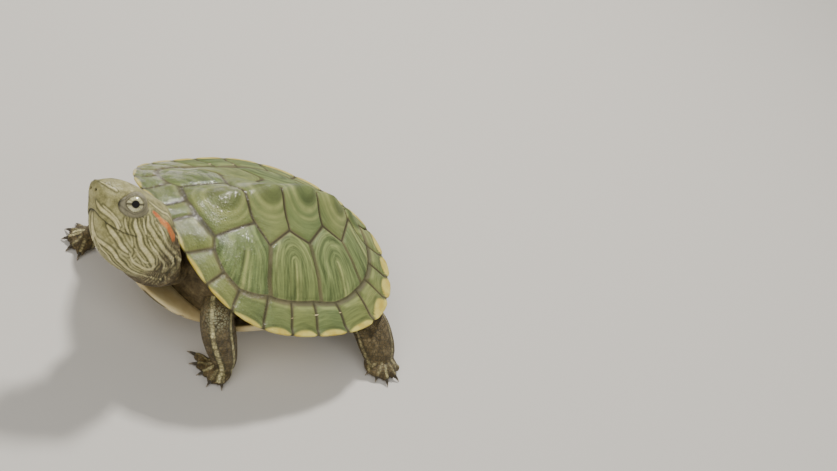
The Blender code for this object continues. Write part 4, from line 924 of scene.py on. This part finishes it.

# Eyes: the lids are a mound over each ball that leaves an almond opening, with a fine fold near their edge
# and a wide one round both.
# Painted shade for the lids' folds and the edge of the eye opening is gathered here.
lid_fold_shade, lid_skin = np.zeros(forward.shape), np.zeros(forward.shape)
for sign in (1, -1):
    offset = head_rings - in_head(sign * EYE_PLACE[0], *EYE_PLACE[1:])
    aside, ahead, rise = sign * (offset @ HEAD_LEFT), offset @ HEAD_FORWARD, offset @ HEAD_UP
    out = aside * math.cos(EYE_TURN) + ahead * math.sin(EYE_TURN)
    ahead = ahead * math.cos(EYE_TURN) - aside * math.sin(EYE_TURN)
    lid_ahead = ahead * math.cos(LID_TILT) + rise * math.sin(LID_TILT)
    lid_rise = rise * math.cos(LID_TILT) - ahead * math.sin(LID_TILT)
    size = np.linalg.norm(offset, axis=-1) + 1e-9
    turn_off = np.arccos(np.clip(out / size, -1, 1))
    flat = np.hypot(lid_ahead, lid_rise) + 1e-9
    opening = ((np.abs(lid_ahead) / flat / LID_OPENING[0]) ** LID_CORNER_POWER
               + (np.abs(lid_rise) / flat / LID_OPENING[1]) ** LID_CORNER_POWER) ** (-1 / LID_CORNER_POWER)
    ratio = turn_off / opening
    near = (out > 0.3) & (size < 6.5)
    mound = LID_RADIUS * smooth(*LID_EDGE, ratio) - fading(ratio, *LID_FOLD)
    mound = mound * (1 - 0.25 * smooth(*LID_END, ratio))
    mound = np.where((out > -1.0) & (ratio > 0.92), mound, 0.0)
    gain = np.clip(mound - size, 0, None)
    soft = np.where(mound > 0, 0.35 * np.exp(-np.abs(mound - size) / 0.35) * smooth(1.6, 2.4, ratio), 0)
    head_rings = head_rings + ((gain + soft) / size)[..., None] * offset
    ring = np.hypot(lid_ahead / LID_RING[0], (lid_rise + LID_RING_DROP) / LID_RING[1])
    groove = near * fading(ring, *LID_GROOVE)
    band = near * smooth(1.0, 0.85, ring) * smooth(1.25, 1.5, ratio)
    head_rings = head_rings + (0.10 * band - LID_GROOVE_DEPTH * groove)[..., None] * outward
    lid_fold_shade = np.maximum(lid_fold_shade, 0.85 * near * fading(ratio, 1.02, 0.07) + 0.50 * groove
                          + 0.55 * near * fading(ratio, LID_FOLD[0], 0.07))
    lid_skin = np.maximum(lid_skin, near * smooth(1.06, 0.98, ring))

# Markings: the stripes, dark borders beside them, fine lines that run along the leading ones, and the red
# patch, which is widest at its rear end.
pale, border = np.zeros(forward.shape), np.zeros(forward.shape)
beside = np.full(forward.shape, 1e9)
for number, (half_widths, line) in enumerate(STRIPES):
    apart, share = chart_distance(forward, crown_angle, distance_out, line)
    half_width = half_widths[0] + (half_widths[1] - half_widths[0]) * share
    half_width = half_width * np.clip(0.35 + 5.0 * np.minimum(share, 1 - share), 0, 1)
    pale = np.maximum(pale, smooth(half_width + STRIPE_EDGE[0], half_width + STRIPE_EDGE[1], apart))
    border = np.maximum(border, fading(apart - half_width, *STRIPE_BORDER))
    if number < LEADING_STRIPES:
        beside = np.minimum(beside, np.clip(apart - half_width, 0, None))
lines_apart = np.cos(2 * math.pi * (beside / FINE_LINE_STEP + 0.12 * np.sin(1.3 * forward)))
lined = smooth(2.5, -2.5, forward) * smooth(math.radians(52), math.radians(66), crown_angle) * (1 - pale)
lined = lined * (1 - lid_skin) * smooth(*FINE_LINE_REACH, beside)
fine_pale, fine_dark = lined * smooth(0.35, 0.95, lines_apart), lined * smooth(-0.2, -0.9, lines_apart)
apart, share = chart_distance(forward, crown_angle, distance_out, RED_PATCH[1])
half_width = RED_PATCH[0][0] + (RED_PATCH[0][1] - RED_PATCH[0][0]) * share
red = smooth(half_width + RED_EDGE[0], half_width + RED_EDGE[1], apart)
red_border = fading(apart - half_width, *RED_BORDER) * (1 - red)
pale = np.maximum(pale, 0.42 * fine_pale * smooth(0.25, 0.5, beside)) * (1 - red) * (1 - lid_skin)
border = 0.85 * border * (1 - pale) * (1 - red) + 0.75 * red_border + 0.75 * fine_dark * (1 - red)
border = np.clip(border, 0, 1) * (1 - lid_skin)
# Painted shade: the mouth's groove, the nostril pits and the lids' folds are darkened.
dark = np.clip(fading(mouth_gap, 0.0, 0.20) * mouth_fade + nostril + lid_fold_shade, 0, 1)
inward = 0.10 * fine_dark * (1 - red) + 0.30 * smooth(5.0, 8.5, forward) * smooth(1.45, 0.95, crown_angle)
inward = inward + 0.17 * smooth(5.0, 7.0, forward) * smooth(2.5, 2.9, crown_angle)
head_rings = head_rings - inward[..., None] * outward
wet = 0.25 + 0.75 * fading(ridge, 0.0, 1.6) + 0.2 * smooth(math.radians(40), math.radians(20), crown_angle)
head_marks = {"pale": pale, "border": border, "dark": dark, "red": red, "lid": lid_skin,
              "wet": np.clip(wet, 0, 1), "head": smooth(-15.0, -11.0, forward),
              "frosted_and_glint": np.zeros(forward.shape), "scaly": 0.25 + 0.5 * smooth(-13.0, -20.0, forward)}


def outward_tube(rings):
    """Points, quads and closing fans of a tube of rings, its faces turned to the outside."""
    points = closed_tube(rings)
    quads, fans = ring_faces(*rings.shape[:2])
    way = 1 if faces_out(points, quads, fans) else -1
    return points, quads[:, ::way], fans[:, ::way]


def tube_between(path, sides, broad, widths, depths):
    """Rings of oval section along a path, their width along the broad direction."""
    tangent = np.gradient(path, axis=0)
    tangent /= np.linalg.norm(tangent, axis=1)[:, None]
    rings = []
    for centre, along, width, depth in zip(path, tangent, widths, depths):
        side = np.array(broad) - along * np.dot(broad, along)
        side /= np.linalg.norm(side)
        rings.append(oval(centre, side, np.cross(along, side), width / 2, depth / 2, depth / 2, sides))
    return np.array(rings)


def palm_rings(middle, ahead, half_length, half_width, half_height):
    """Rings of a flattened ball along the foot: widths go as sqrt(1 - s^2), wider to the toes."""
    shares = np.sin(np.linspace(-1, 1, 24) * 1.5)
    across, rounds = np.array([-ahead[1], ahead[0], 0.0]), np.sqrt(1 - shares ** 2)
    centres = middle + np.outer(shares, ahead * half_length) + np.outer(1 - shares, (0, 0, PALM_RISE))
    widths, heights = half_width * rounds * (1 + 0.18 * shares), half_height * rounds
    return np.array([oval(centre, across, (0, 0, 1), width, height, height, LIMB_COLUMNS)
                     for centre, width, height in zip(centres, widths, heights)])


def toe_rings(palm, end):
    """Rings of a toe over its knuckle, of girth 2 r (1 + 0.1 sin a), and where its claw starts."""
    stride = end - palm
    toe_end = palm + stride * (1 - CLAW_SHARE * 0.62)
    toe_end[2] = TOE_RADIUS - 0.15
    knuckle = palm + stride * KNUCKLE_SHARE + np.array([0, 0, 0.35])
    path = smooth_path([palm + stride * 0.15, knuckle, toe_end], TOE_RINGS)
    swell = 1 + 0.10 * np.sin(np.linspace(0, 3.5 * math.pi, TOE_RINGS))
    tip_share = np.linspace(0, 1, TOE_RINGS) * 0.80
    girth = 2 * TOE_RADIUS * swell * np.sqrt(np.clip(1 - tip_share ** 8, 0.1, 1))
    return tube_between(path, 20, np.cross(stride, (0, 0, 1.0)), girth, girth * TOE_FLATNESS), toe_end


def web_rings(palm, first_tip, second_tip, reach):
    """Thin fan of skin between two toes, its edge fallen back by a share d sin(pi s)."""
    shares = np.linspace(0.0, 1.0, 9)[:, None]
    tips = np.array(first_tip) * (1 - shares) + np.array(second_tip) * shares
    edge = np.array(palm) + (tips - np.array(palm)) * reach * (1 - WEB_DIP * np.sin(math.pi * shares))
    edge = np.column_stack([edge, np.full(len(edge), 0.75)])
    root = np.array([*palm, 1.4]) * 0.999 + edge * 0.001
    thick = np.array([0, 0, WEB_HALF_THICKNESS])
    return np.stack([root - thick, edge - thick, edge + thick, root + thick], axis=1)


solids, limb_paths, toes = [], {}, {}
for name, places in LIMBS.items():
    table = smooth_path(np.column_stack([places, *LIMB_SIZES[name[:4]]]), LIMB_RINGS)
    limb_paths[name] = table[:, :3] - CENTRE
    solids.append(tube_between(limb_paths[name], LIMB_COLUMNS, (0.0, 1.0, 0.0), table[:, 3], table[:, 4]))
table = smooth_path(np.column_stack([TAIL, TAIL_RADII]), TAIL_RINGS)
tail_width = 2 * table[:, 3]
limb_paths["tail"] = table[:, :3] - CENTRE
solids.append(tube_between(limb_paths["tail"], TAIL_COLUMNS, (1.0, 0.0, 0.0), tail_width, tail_width))
for name, (palm, tips) in FEET.items():
    palm_middle = np.array([*palm, PALM_HEIGHT])
    ahead = np.array([*(np.mean(tips, axis=0) - palm), 0.0])
    solids.append(palm_rings(palm_middle, ahead / np.linalg.norm(ahead), *PALMS[name[:4]]) - CENTRE)
    toes[name] = []
    for tip in tips:
        end = np.array([*tip, 0.45])
        rings, toe_end = toe_rings(palm_middle, end)
        solids.append(rings - CENTRE)
        toes[name].append((toe_end - CENTRE, end - CENTRE))
    solids.extend(web_rings(palm, *pair, WEB_REACH[name[:4]]) - CENTRE for pair in zip(tips[:-1], tips[1:]))

# Legs, feet, webs and tail are joined by a fine remesh, and smoothed a little where they meet.
points, polygons, start = [], [], 0
for solid in solids:
    solid_points, *solid_faces = outward_tube(solid)
    for faces in solid_faces:
        polygons.extend((faces + start).tolist())
    points.append(solid_points)
    start += len(solid_points)
limbs = bpy.data.meshes.new("limbs")
limbs.from_pydata((np.concatenate(points) * MM).tolist(), [], polygons)
holder = bpy.data.objects.new("limbs", limbs)
bpy.context.scene.collection.objects.link(holder)
remesh = holder.modifiers.new("joined", "REMESH")
remesh.mode = "VOXEL"
remesh.voxel_size = SKIN_VOXEL * MM
blur = holder.modifiers.new("softened", "SMOOTH")
blur.factor = 0.5
blur.iterations = 4
joined = bpy.data.meshes.new_from_object(holder.evaluated_get(bpy.context.evaluated_depsgraph_get()))
limb_points = np.zeros(len(joined.vertices) * 3, np.float32)
joined.vertices.foreach_get("co", limb_points)
limb_points = limb_points.reshape(-1, 3).astype(float) / MM
limb_quads = np.zeros(len(joined.loops), np.int32)
joined.loops.foreach_get("vertex_index", limb_quads)
limb_quads = limb_quads.reshape(-1, 4)
bpy.data.objects.remove(holder)
limb_points[:, 2] = np.maximum(limb_points[:, 2], 0.0)

limb_pale = np.zeros(len(limb_points))
limb_border = np.zeros(len(limb_points))
for name, path in limb_paths.items():
    apart = np.linalg.norm(limb_points[:, None, :] - path[None, :, :], axis=-1)
    nearest = np.argmin(apart, axis=1)
    tangent = np.gradient(path, axis=0)
    tangent /= np.linalg.norm(tangent, axis=1)[:, None]
    arm = limb_points - path[nearest]
    arm = arm - tangent[nearest] * np.einsum("ij,ij->i", arm, tangent[nearest])[:, None]
    front_side = np.array([0.0, -1.0, 0.0]) + tangent * tangent[:, 1:2]
    front_side /= np.linalg.norm(front_side, axis=1)[:, None]
    outer_side = np.cross(tangent, front_side)
    around = np.arctan2(np.einsum("ij,ij->i", arm, outer_side[nearest]),
                        np.einsum("ij,ij->i", arm, front_side[nearest]))
    here = (apart.min(axis=1) < LIMB_REACH) & (limb_points[:, 2] > ANKLE_HEIGHT)
    run = nearest * (np.linalg.norm(path[-1] - path[0]) / len(path))
    beads = 0.66 + 0.34 * np.cos(2 * math.pi * run / STRIPE_BEAD)
    strong, stripes = LIMB_STRIPES.get(name[:4], LIMB_STRIPES["rest"])
    for middle_angle, half in stripes:
        outwards = -middle_angle if name.endswith("left") else middle_angle
        gap = np.abs(np.angle(np.exp(1j * (around - outwards)))) * np.linalg.norm(arm, axis=1)
        inside = smooth(half + LIMB_STRIPE_EDGE[0], half + LIMB_STRIPE_EDGE[1], gap)
        limb_pale = np.maximum(limb_pale, here * beads * strong * inside)
        limb_border = np.maximum(limb_border, here * strong * fading(gap - half, *LIMB_STRIPE_BORDER))
for name, foot_toes in toes.items():
    for strong, (toe_end, _) in zip(TOE_STRIPES, foot_toes):
        root = np.array([*FEET[name][0], 3.0]) - CENTRE
        root = root + (toe_end - root) * 0.45
        step = (toe_end - root)[:2]
        along = np.clip(((limb_points[:, :2] - root[:2]) @ step) / (step @ step), 0, 1)
        apart = np.linalg.norm(limb_points[:, :2] - root[:2] - along[:, None] * step, axis=1)
        low_down = (limb_points[:, 2] < 5.0) & (limb_points[:, 2] > 1.4)
        limb_pale = np.maximum(limb_pale, low_down * strong * smooth(*TOE_STRIPE_EDGE, apart))

# Trunk: hidden between the shells, and seen only as dark skin in the openings.
turns = 2 * math.pi * (np.arange(TRUNK_COLUMNS) + 0.5) / TRUNK_COLUMNS
trunk_reach = series(RIM_RADIUS, turns) * TRUNK_REACH
past_bridge = np.clip(np.abs(trunk_reach * np.cos(turns)) - TRUNK_BRIDGE_LENGTH, 0, None)
in_bridge = fading(past_bridge, 0.0, TRUNK_BRIDGE_FADE)
between_bridges = np.minimum(trunk_reach, TRUNK_BRIDGE_REACH / np.maximum(np.abs(np.sin(turns)), 0.2))
trunk_reach = trunk_reach * (1 - in_bridge) + between_bridges * in_bridge
share, depth = np.array(TRUNK_RINGS).T[..., None]
trunk_x, trunk_y = share * trunk_reach * np.sin(turns), -share * trunk_reach * np.cos(turns)
high = dome(trunk_x, trunk_y) - (SHELL_WALL + TRUNK_TOP_CLEARANCE) * dome_steepness(trunk_x, trunk_y)
low_slope = plastron_height(trunk_x + 0.5, trunk_y) - plastron_height(trunk_x - 0.5, trunk_y)
low = plastron_height(trunk_x, trunk_y) + (PLASTRON_WALL + TRUNK_LOW_CLEARANCE) * np.sqrt(1 + low_slope ** 2)
trunk_rings = shell_to_row(np.stack([trunk_x, trunk_y, high + (low - high) * depth], axis=-1))

head_points, head_quads, head_fans = outward_tube(head_rings)
trunk_points, trunk_quads, trunk_fans = outward_tube(trunk_rings)
before_limbs = len(head_points) + len(trunk_points)
elbow = sum(fading(np.linalg.norm(limb_points - (np.array(place) - CENTRE), axis=1), 0.0, ELBOW_SPREAD)
            for place in ELBOWS)
limb_marks = {"pale": limb_pale, "border": limb_border * (1 - limb_pale), "scaly": np.ones(len(limb_points)),
              "frosted_and_glint": np.clip(1.3 * elbow, 0, 1),
              "wet": np.clip(0.20 + 0.45 * smooth(6.0, 13.0, limb_points[:, 2]) + elbow, 0, 1)}
skin_marks = {name: np.concatenate([with_ends(values), np.full(len(trunk_points), 0.5 * (name == "scaly")),
                                    limb_marks.get(name, np.zeros(len(limb_points)))])
              for name, values in head_marks.items()}

scales, scale_in, scale_out = new_group("scales", {"Place": "Vector", "Size": "Float"}, {"Height": "Float"})
cells = {"Vector": scale_in["Place"], "Scale": scale_in["Size"], "Randomness": 0.8}
cells = node(scales, "TexVoronoi", cells, feature="DISTANCE_TO_EDGE").outputs["Distance"]
scales.links.new(remap(scales, cells, 0.0, 0.16), scale_out["Height"])

skin_material, tree, shader = new_material("skin")
place = node(tree, "TexCoord").outputs["Object"]
mottle = noise(tree, place, 420.0, 5.0, 0.65)
head_green = ramp(tree, mottle, (0.34, (0.190, 0.178, 0.068)), (0.50, (0.315, 0.292, 0.122)),
                  (0.66, (0.43, 0.40, 0.19)))
hide = ramp(tree, mottle, (0.34, (0.050, 0.034, 0.013)), (0.52, (0.112, 0.082, 0.035)),
            (0.70, (0.210, 0.160, 0.078)))
cream = ramp(tree, mottle, (0.35, (0.48, 0.43, 0.19)), (0.60, (0.66, 0.60, 0.32)))
orange = ramp(tree, mottle, (0.36, (0.52, 0.10, 0.022)), (0.60, (0.60, 0.23, 0.06)))
body = blend_colour(tree, attribute(tree, "head"), hide, head_green)
body = blend_colour(tree, attribute(tree, "lid"), body, LID_COLOUR)
body = blend_colour(tree, product(tree, attribute(tree, "border"), 0.72), body, BORDER_COLOUR)
body = blend_colour(tree, attribute(tree, "pale"), body, cream)
body = blend_colour(tree, attribute(tree, "red"), body, orange)
# painted shade in the mouth's groove, the nostrils and the lids' folds
body = blend_colour(tree, attribute(tree, "dark"), body, GROOVE_SHADE_COLOUR)
coarse, small, beads = (node(tree, "Group", {"Place": place}, node_tree=scales) for _ in range(3))
coarse.inputs["Size"].default_value = 900.0
small.inputs["Size"].default_value = 2100.0
beads.inputs["Size"].default_value = 1150.0
scaly = attribute(tree, "scaly")
# Painted shade darkens the creases between the scales.
crease_shade = product(tree, math_node(tree, "SUBTRACT", 1.0, coarse.outputs[0]), scaly)
body = blend_colour(tree, product(tree, crease_shade, 0.65), body, CREASE_SHADE_COLOUR)
# The elbows' pale scales also carry a painted highlight, lighter than their own colour.
frost_and_glint = product(tree, attribute(tree, "frosted_and_glint"), remap(tree, beads.outputs[0], 0.45, 0.95))
body = blend_colour(tree, product(tree, frost_and_glint, 0.62), body, FROST_AND_GLINT_COLOUR)
tree.links.new(body, shader.inputs["Base Color"])
water = {"Place": place, "Water": attribute(tree, "wet")}
wet_film, specks = node(tree, "Group", water, node_tree=wetness).outputs
film = math_node(tree, "MULTIPLY_ADD", specks, 0.10, remap(tree, wet_film, 0.0, 1.0, 0.60, 0.26))
tree.links.new(film, shader.inputs["Roughness"])
height = math_node(tree, "MULTIPLY_ADD", small.outputs[0], 0.35, product(tree, coarse.outputs[0], scaly))
height = math_node(tree, "MULTIPLY_ADD", specks, 0.5, height)
bump = node(tree, "Bump", {"Height": height, "Strength": 0.6, "Distance": 0.00022})
tree.links.new(bump.outputs[0], shader.inputs["Normal"])

skin = add_piece("skin", np.concatenate([head_points, trunk_points, limb_points]),
                 np.concatenate([head_quads, trunk_quads + len(head_points), limb_quads + before_limbs]),
                 np.concatenate([head_fans, trunk_fans + len(head_points)]), skin_material, **skin_marks)
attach(skin, "root")
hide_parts("trunk", "neck", "head", "lower_jaw", "tail", *LIMBS, *FEET)


# ---------------------------------------------------------------------------------------------------
# Eyes. Wet balls set deep behind the lids, with a clear bulge of cornea, a pale iris crossed by a dark bar
# in line with the lids' corners, and a round pupil.
CORNEA_BULGE = 0.22
CORNEA_SPREAD = 0.55
PUPIL_RADIUS = 1.02
IRIS_RADIUS = 2.4
BAR_HALF_WIDTH = 0.30
RIM_COLOUR = (0.030, 0.028, 0.016)
BAR_COLOUR = (0.050, 0.042, 0.024)
PUPIL_COLOUR = (0.004, 0.004, 0.004)
EYE_COLUMNS = 128
EYE_RINGS = 90

iris_material, tree, shader = new_material("eye")
gaze = node(tree, "VectorMath", {0: attribute(tree, "gaze", "Vector")}, operation="NORMALIZE").outputs[0]
iris = ramp(tree, noise(tree, gaze, 9.0, 4.0), (0.36, (0.30, 0.29, 0.13)), (0.50, (0.52, 0.50, 0.28)),
            (0.64, (0.68, 0.66, 0.42)))
iris = blend_colour(tree, attribute(tree, "rim"), iris, RIM_COLOUR)
iris = blend_colour(tree, product(tree, attribute(tree, "bar"), 0.88), iris, BAR_COLOUR)
iris = blend_colour(tree, attribute(tree, "pupil"), iris, PUPIL_COLOUR)
tree.links.new(iris, shader.inputs["Base Color"])
shader.inputs["Roughness"].default_value = 0.16
shader.inputs["Coat Weight"].default_value = 1.0
shader.inputs["Coat Roughness"].default_value = 0.03

swing = math.pi * np.linspace(0.004, 0.999, EYE_RINGS)[:, None] ** 1.35
around = 2 * math.pi * np.arange(EYE_COLUMNS)[None, :] / EYE_COLUMNS
ball_radius = EYE_RADIUS + CORNEA_BULGE * np.exp(-(swing / CORNEA_SPREAD) ** 4)
out, off_axis = (part * ball_radius + 0 * around for part in (np.cos(swing), np.sin(swing)))
lid_ahead, lid_rise = off_axis * np.cos(around), off_axis * np.sin(around)
facing_out = out > 0
pupil = facing_out * smooth(PUPIL_RADIUS + 0.05, PUPIL_RADIUS - 0.05, off_axis)
bar = facing_out * smooth(BAR_HALF_WIDTH + 0.14, BAR_HALF_WIDTH - 0.14, np.abs(lid_rise))
iris_rim = np.where(facing_out, smooth(IRIS_RADIUS - 0.35, IRIS_RADIUS + 0.05, off_axis), 1.0)
iris_rim = np.maximum(iris_rim, 0.55 * fading(off_axis, PUPIL_RADIUS + 0.08, 0.10))
quads, fans = ring_faces(EYE_RINGS, EYE_COLUMNS)
for name, sign in (("left", 1), ("right", -1)):
    ahead = lid_ahead * math.cos(LID_TILT) - lid_rise * math.sin(LID_TILT)
    rise = lid_rise * math.cos(LID_TILT) + lid_ahead * math.sin(LID_TILT)
    aside = out * math.cos(EYE_TURN) - ahead * math.sin(EYE_TURN)
    ahead = ahead * math.cos(EYE_TURN) + out * math.sin(EYE_TURN)
    ball = in_head(sign * (EYE_PLACE[0] + aside), EYE_PLACE[1] + ahead, EYE_PLACE[2] + rise)
    eye = add_piece(f"eyeball_{name}", closed_tube(ball), quads, fans, iris_material,
                    gaze=with_ends(np.stack([lid_ahead, lid_rise, 0 * out], axis=-1)),
                    pupil=with_ends(pupil), bar=with_ends(bar), rim=with_ends(iris_rim))
    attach(eye, "root")
    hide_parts(f"eye_{name}")


# ---------------------------------------------------------------------------------------------------
# Claws. Five on each forefoot and four on each hind foot, of dark horn with paler tips. They are curved
# cones that grow out of the toes' ends and taper to a point on the ground.
CLAW_RINGS = 14
CLAW_COLUMNS = 14
CLAW_BASE_RADIUS = 0.78
CLAW_TIP_RADIUS = 0.10
CLAW_TAPER = 1.15
CLAW_ARCH = 0.28
CLAW_ROOT = 0.35                           # share of its length that is hidden in the toe
CLAW_FLATNESS = 0.85
HIND_CLAWS = 4

claw_material, tree, shader = new_material("claw")
streaky = noise(tree, node(tree, "TexCoord").outputs["Object"], 1100.0)
horn = ramp(tree, math_node(tree, "MULTIPLY_ADD", streaky, 0.3, attribute(tree, "length")),
            (0.15, (0.030, 0.026, 0.018)), (0.80, (0.060, 0.050, 0.034)), (1.15, (0.20, 0.17, 0.12)))
tree.links.new(horn, shader.inputs["Base Color"])
shader.inputs["Roughness"].default_value = 0.32

claw_share = np.linspace(0, 1, CLAW_RINGS)
claw_radii = CLAW_BASE_RADIUS + (CLAW_TIP_RADIUS - CLAW_BASE_RADIUS) * claw_share ** CLAW_TAPER
quads, fans = ring_faces(CLAW_RINGS, CLAW_COLUMNS)
for foot_name, foot_toes in toes.items():
    claw_points, claw_quads, claw_fans, lengths = [], [], [], []
    clawed = foot_toes if foot_name.startswith("fore") else foot_toes[:HIND_CLAWS]
    for toe_end, end in clawed:
        step = end - toe_end
        base = toe_end - step * CLAW_ROOT
        tip = end - 0.03 * step - np.array([0.0, 0.0, 0.25])
        arch = np.outer(np.sin(claw_share * math.pi) * CLAW_ARCH, (0, 0, 1))
        path = base + np.outer(claw_share, tip - base) + arch
        claw = tube_between(path, CLAW_COLUMNS, np.cross(step, (0, 0, 1.0)), 2 * CLAW_FLATNESS * claw_radii,
                            2 * claw_radii)
        start = len(claw_points) * (CLAW_RINGS * CLAW_COLUMNS + 2)
        claw_points.append(closed_tube(claw))
        claw_quads.append(quads + start)
        claw_fans.append(fans + start)
        lengths.append(with_ends(np.repeat(claw_share[:, None], CLAW_COLUMNS, axis=1)))
    claws = add_piece(f"claws_{foot_name}", np.concatenate(claw_points), np.concatenate(claw_quads),
                      np.concatenate(claw_fans), claw_material, length=np.concatenate(lengths))
    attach(claws, "root")


# ---------------------------------------------------------------------------------------------------
# Studio. A pale floor, a small key light behind the shell that gives the wet glints, two broad lights from
# the front and the side, and a camera that looks down on the turtle's left side with its horizon tipped.
CAMERA_AZIMUTH = math.radians(34.5)
CAMERA_ELEVATION = math.radians(35.0)
CAMERA_ROLL = math.radians(30.5)
CAMERA_PLACE = np.array([236.36, -270.84, 304.34]) - CENTRE
CAMERA_LENS = 65.0


def add_light(name, place, aim, power, size, colour, glints):
    """Soft square light aimed at a place, with or without a reflection; positions in metres."""
    lamp = bpy.data.lights.new(name, "AREA")
    lamp.energy = power
    lamp.size = size
    lamp.color = colour
    made = bpy.data.objects.new(name, lamp)
    bpy.context.scene.collection.objects.link(made)
    made.location = place
    made.rotation_euler = (Vector(place) - Vector(aim)).to_track_quat("Z", "Y").to_euler()
    made.visible_glossy = glints


floor_material, tree, shader = new_material("studio_floor")
shader.inputs["Base Color"].default_value = (0.58, 0.56, 0.52, 1.0)
shader.inputs["Roughness"].default_value = 0.75
bpy.ops.mesh.primitive_plane_add(size=4.0)
floor = bpy.context.active_object
floor.name = "studio_floor"
floor.data.materials.append(floor_material)

middle = (cad_box[0] + cad_box[1]) / 2
add_light("key", (-0.32, 0.33, 0.71), middle, 7.6, 0.09, (1.0, 0.97, 0.92), True)
add_light("front", (0.30, -0.75, 0.75), middle, 9.2, 0.8, (1.0, 0.97, 0.93), False)
add_light("side", (0.85, 0.10, 0.45), middle, 2.4, 0.6, (0.95, 0.98, 1.0), False)
world = bpy.data.worlds.new("studio_air")
bpy.context.scene.world = world
world.use_nodes = True
air = world.node_tree.nodes["Background"]
air.inputs["Color"].default_value = (0.88, 0.85, 0.79, 1.0)
air.inputs["Strength"].default_value = 0.24

back = Vector((math.sin(CAMERA_AZIMUTH) * math.cos(CAMERA_ELEVATION),
               -math.cos(CAMERA_AZIMUTH) * math.cos(CAMERA_ELEVATION), math.sin(CAMERA_ELEVATION)))
upright = (Vector((0, 0, 1)) - back * back.z).normalized()
level = upright.cross(back)
right = level * math.cos(CAMERA_ROLL) + upright * math.sin(CAMERA_ROLL)
above = upright * math.cos(CAMERA_ROLL) - level * math.sin(CAMERA_ROLL)
lens = bpy.data.cameras.new("camera")
lens.lens = CAMERA_LENS
lens.sensor_width = 36.0
lens.clip_start = 0.01
camera = bpy.data.objects.new("camera", lens)
bpy.context.scene.collection.objects.link(camera)
turned = Matrix((right, above, back)).transposed().to_4x4()
camera.matrix_world = Matrix.Translation(Vector(CAMERA_PLACE * MM)) @ turned
bpy.context.scene.camera = camera
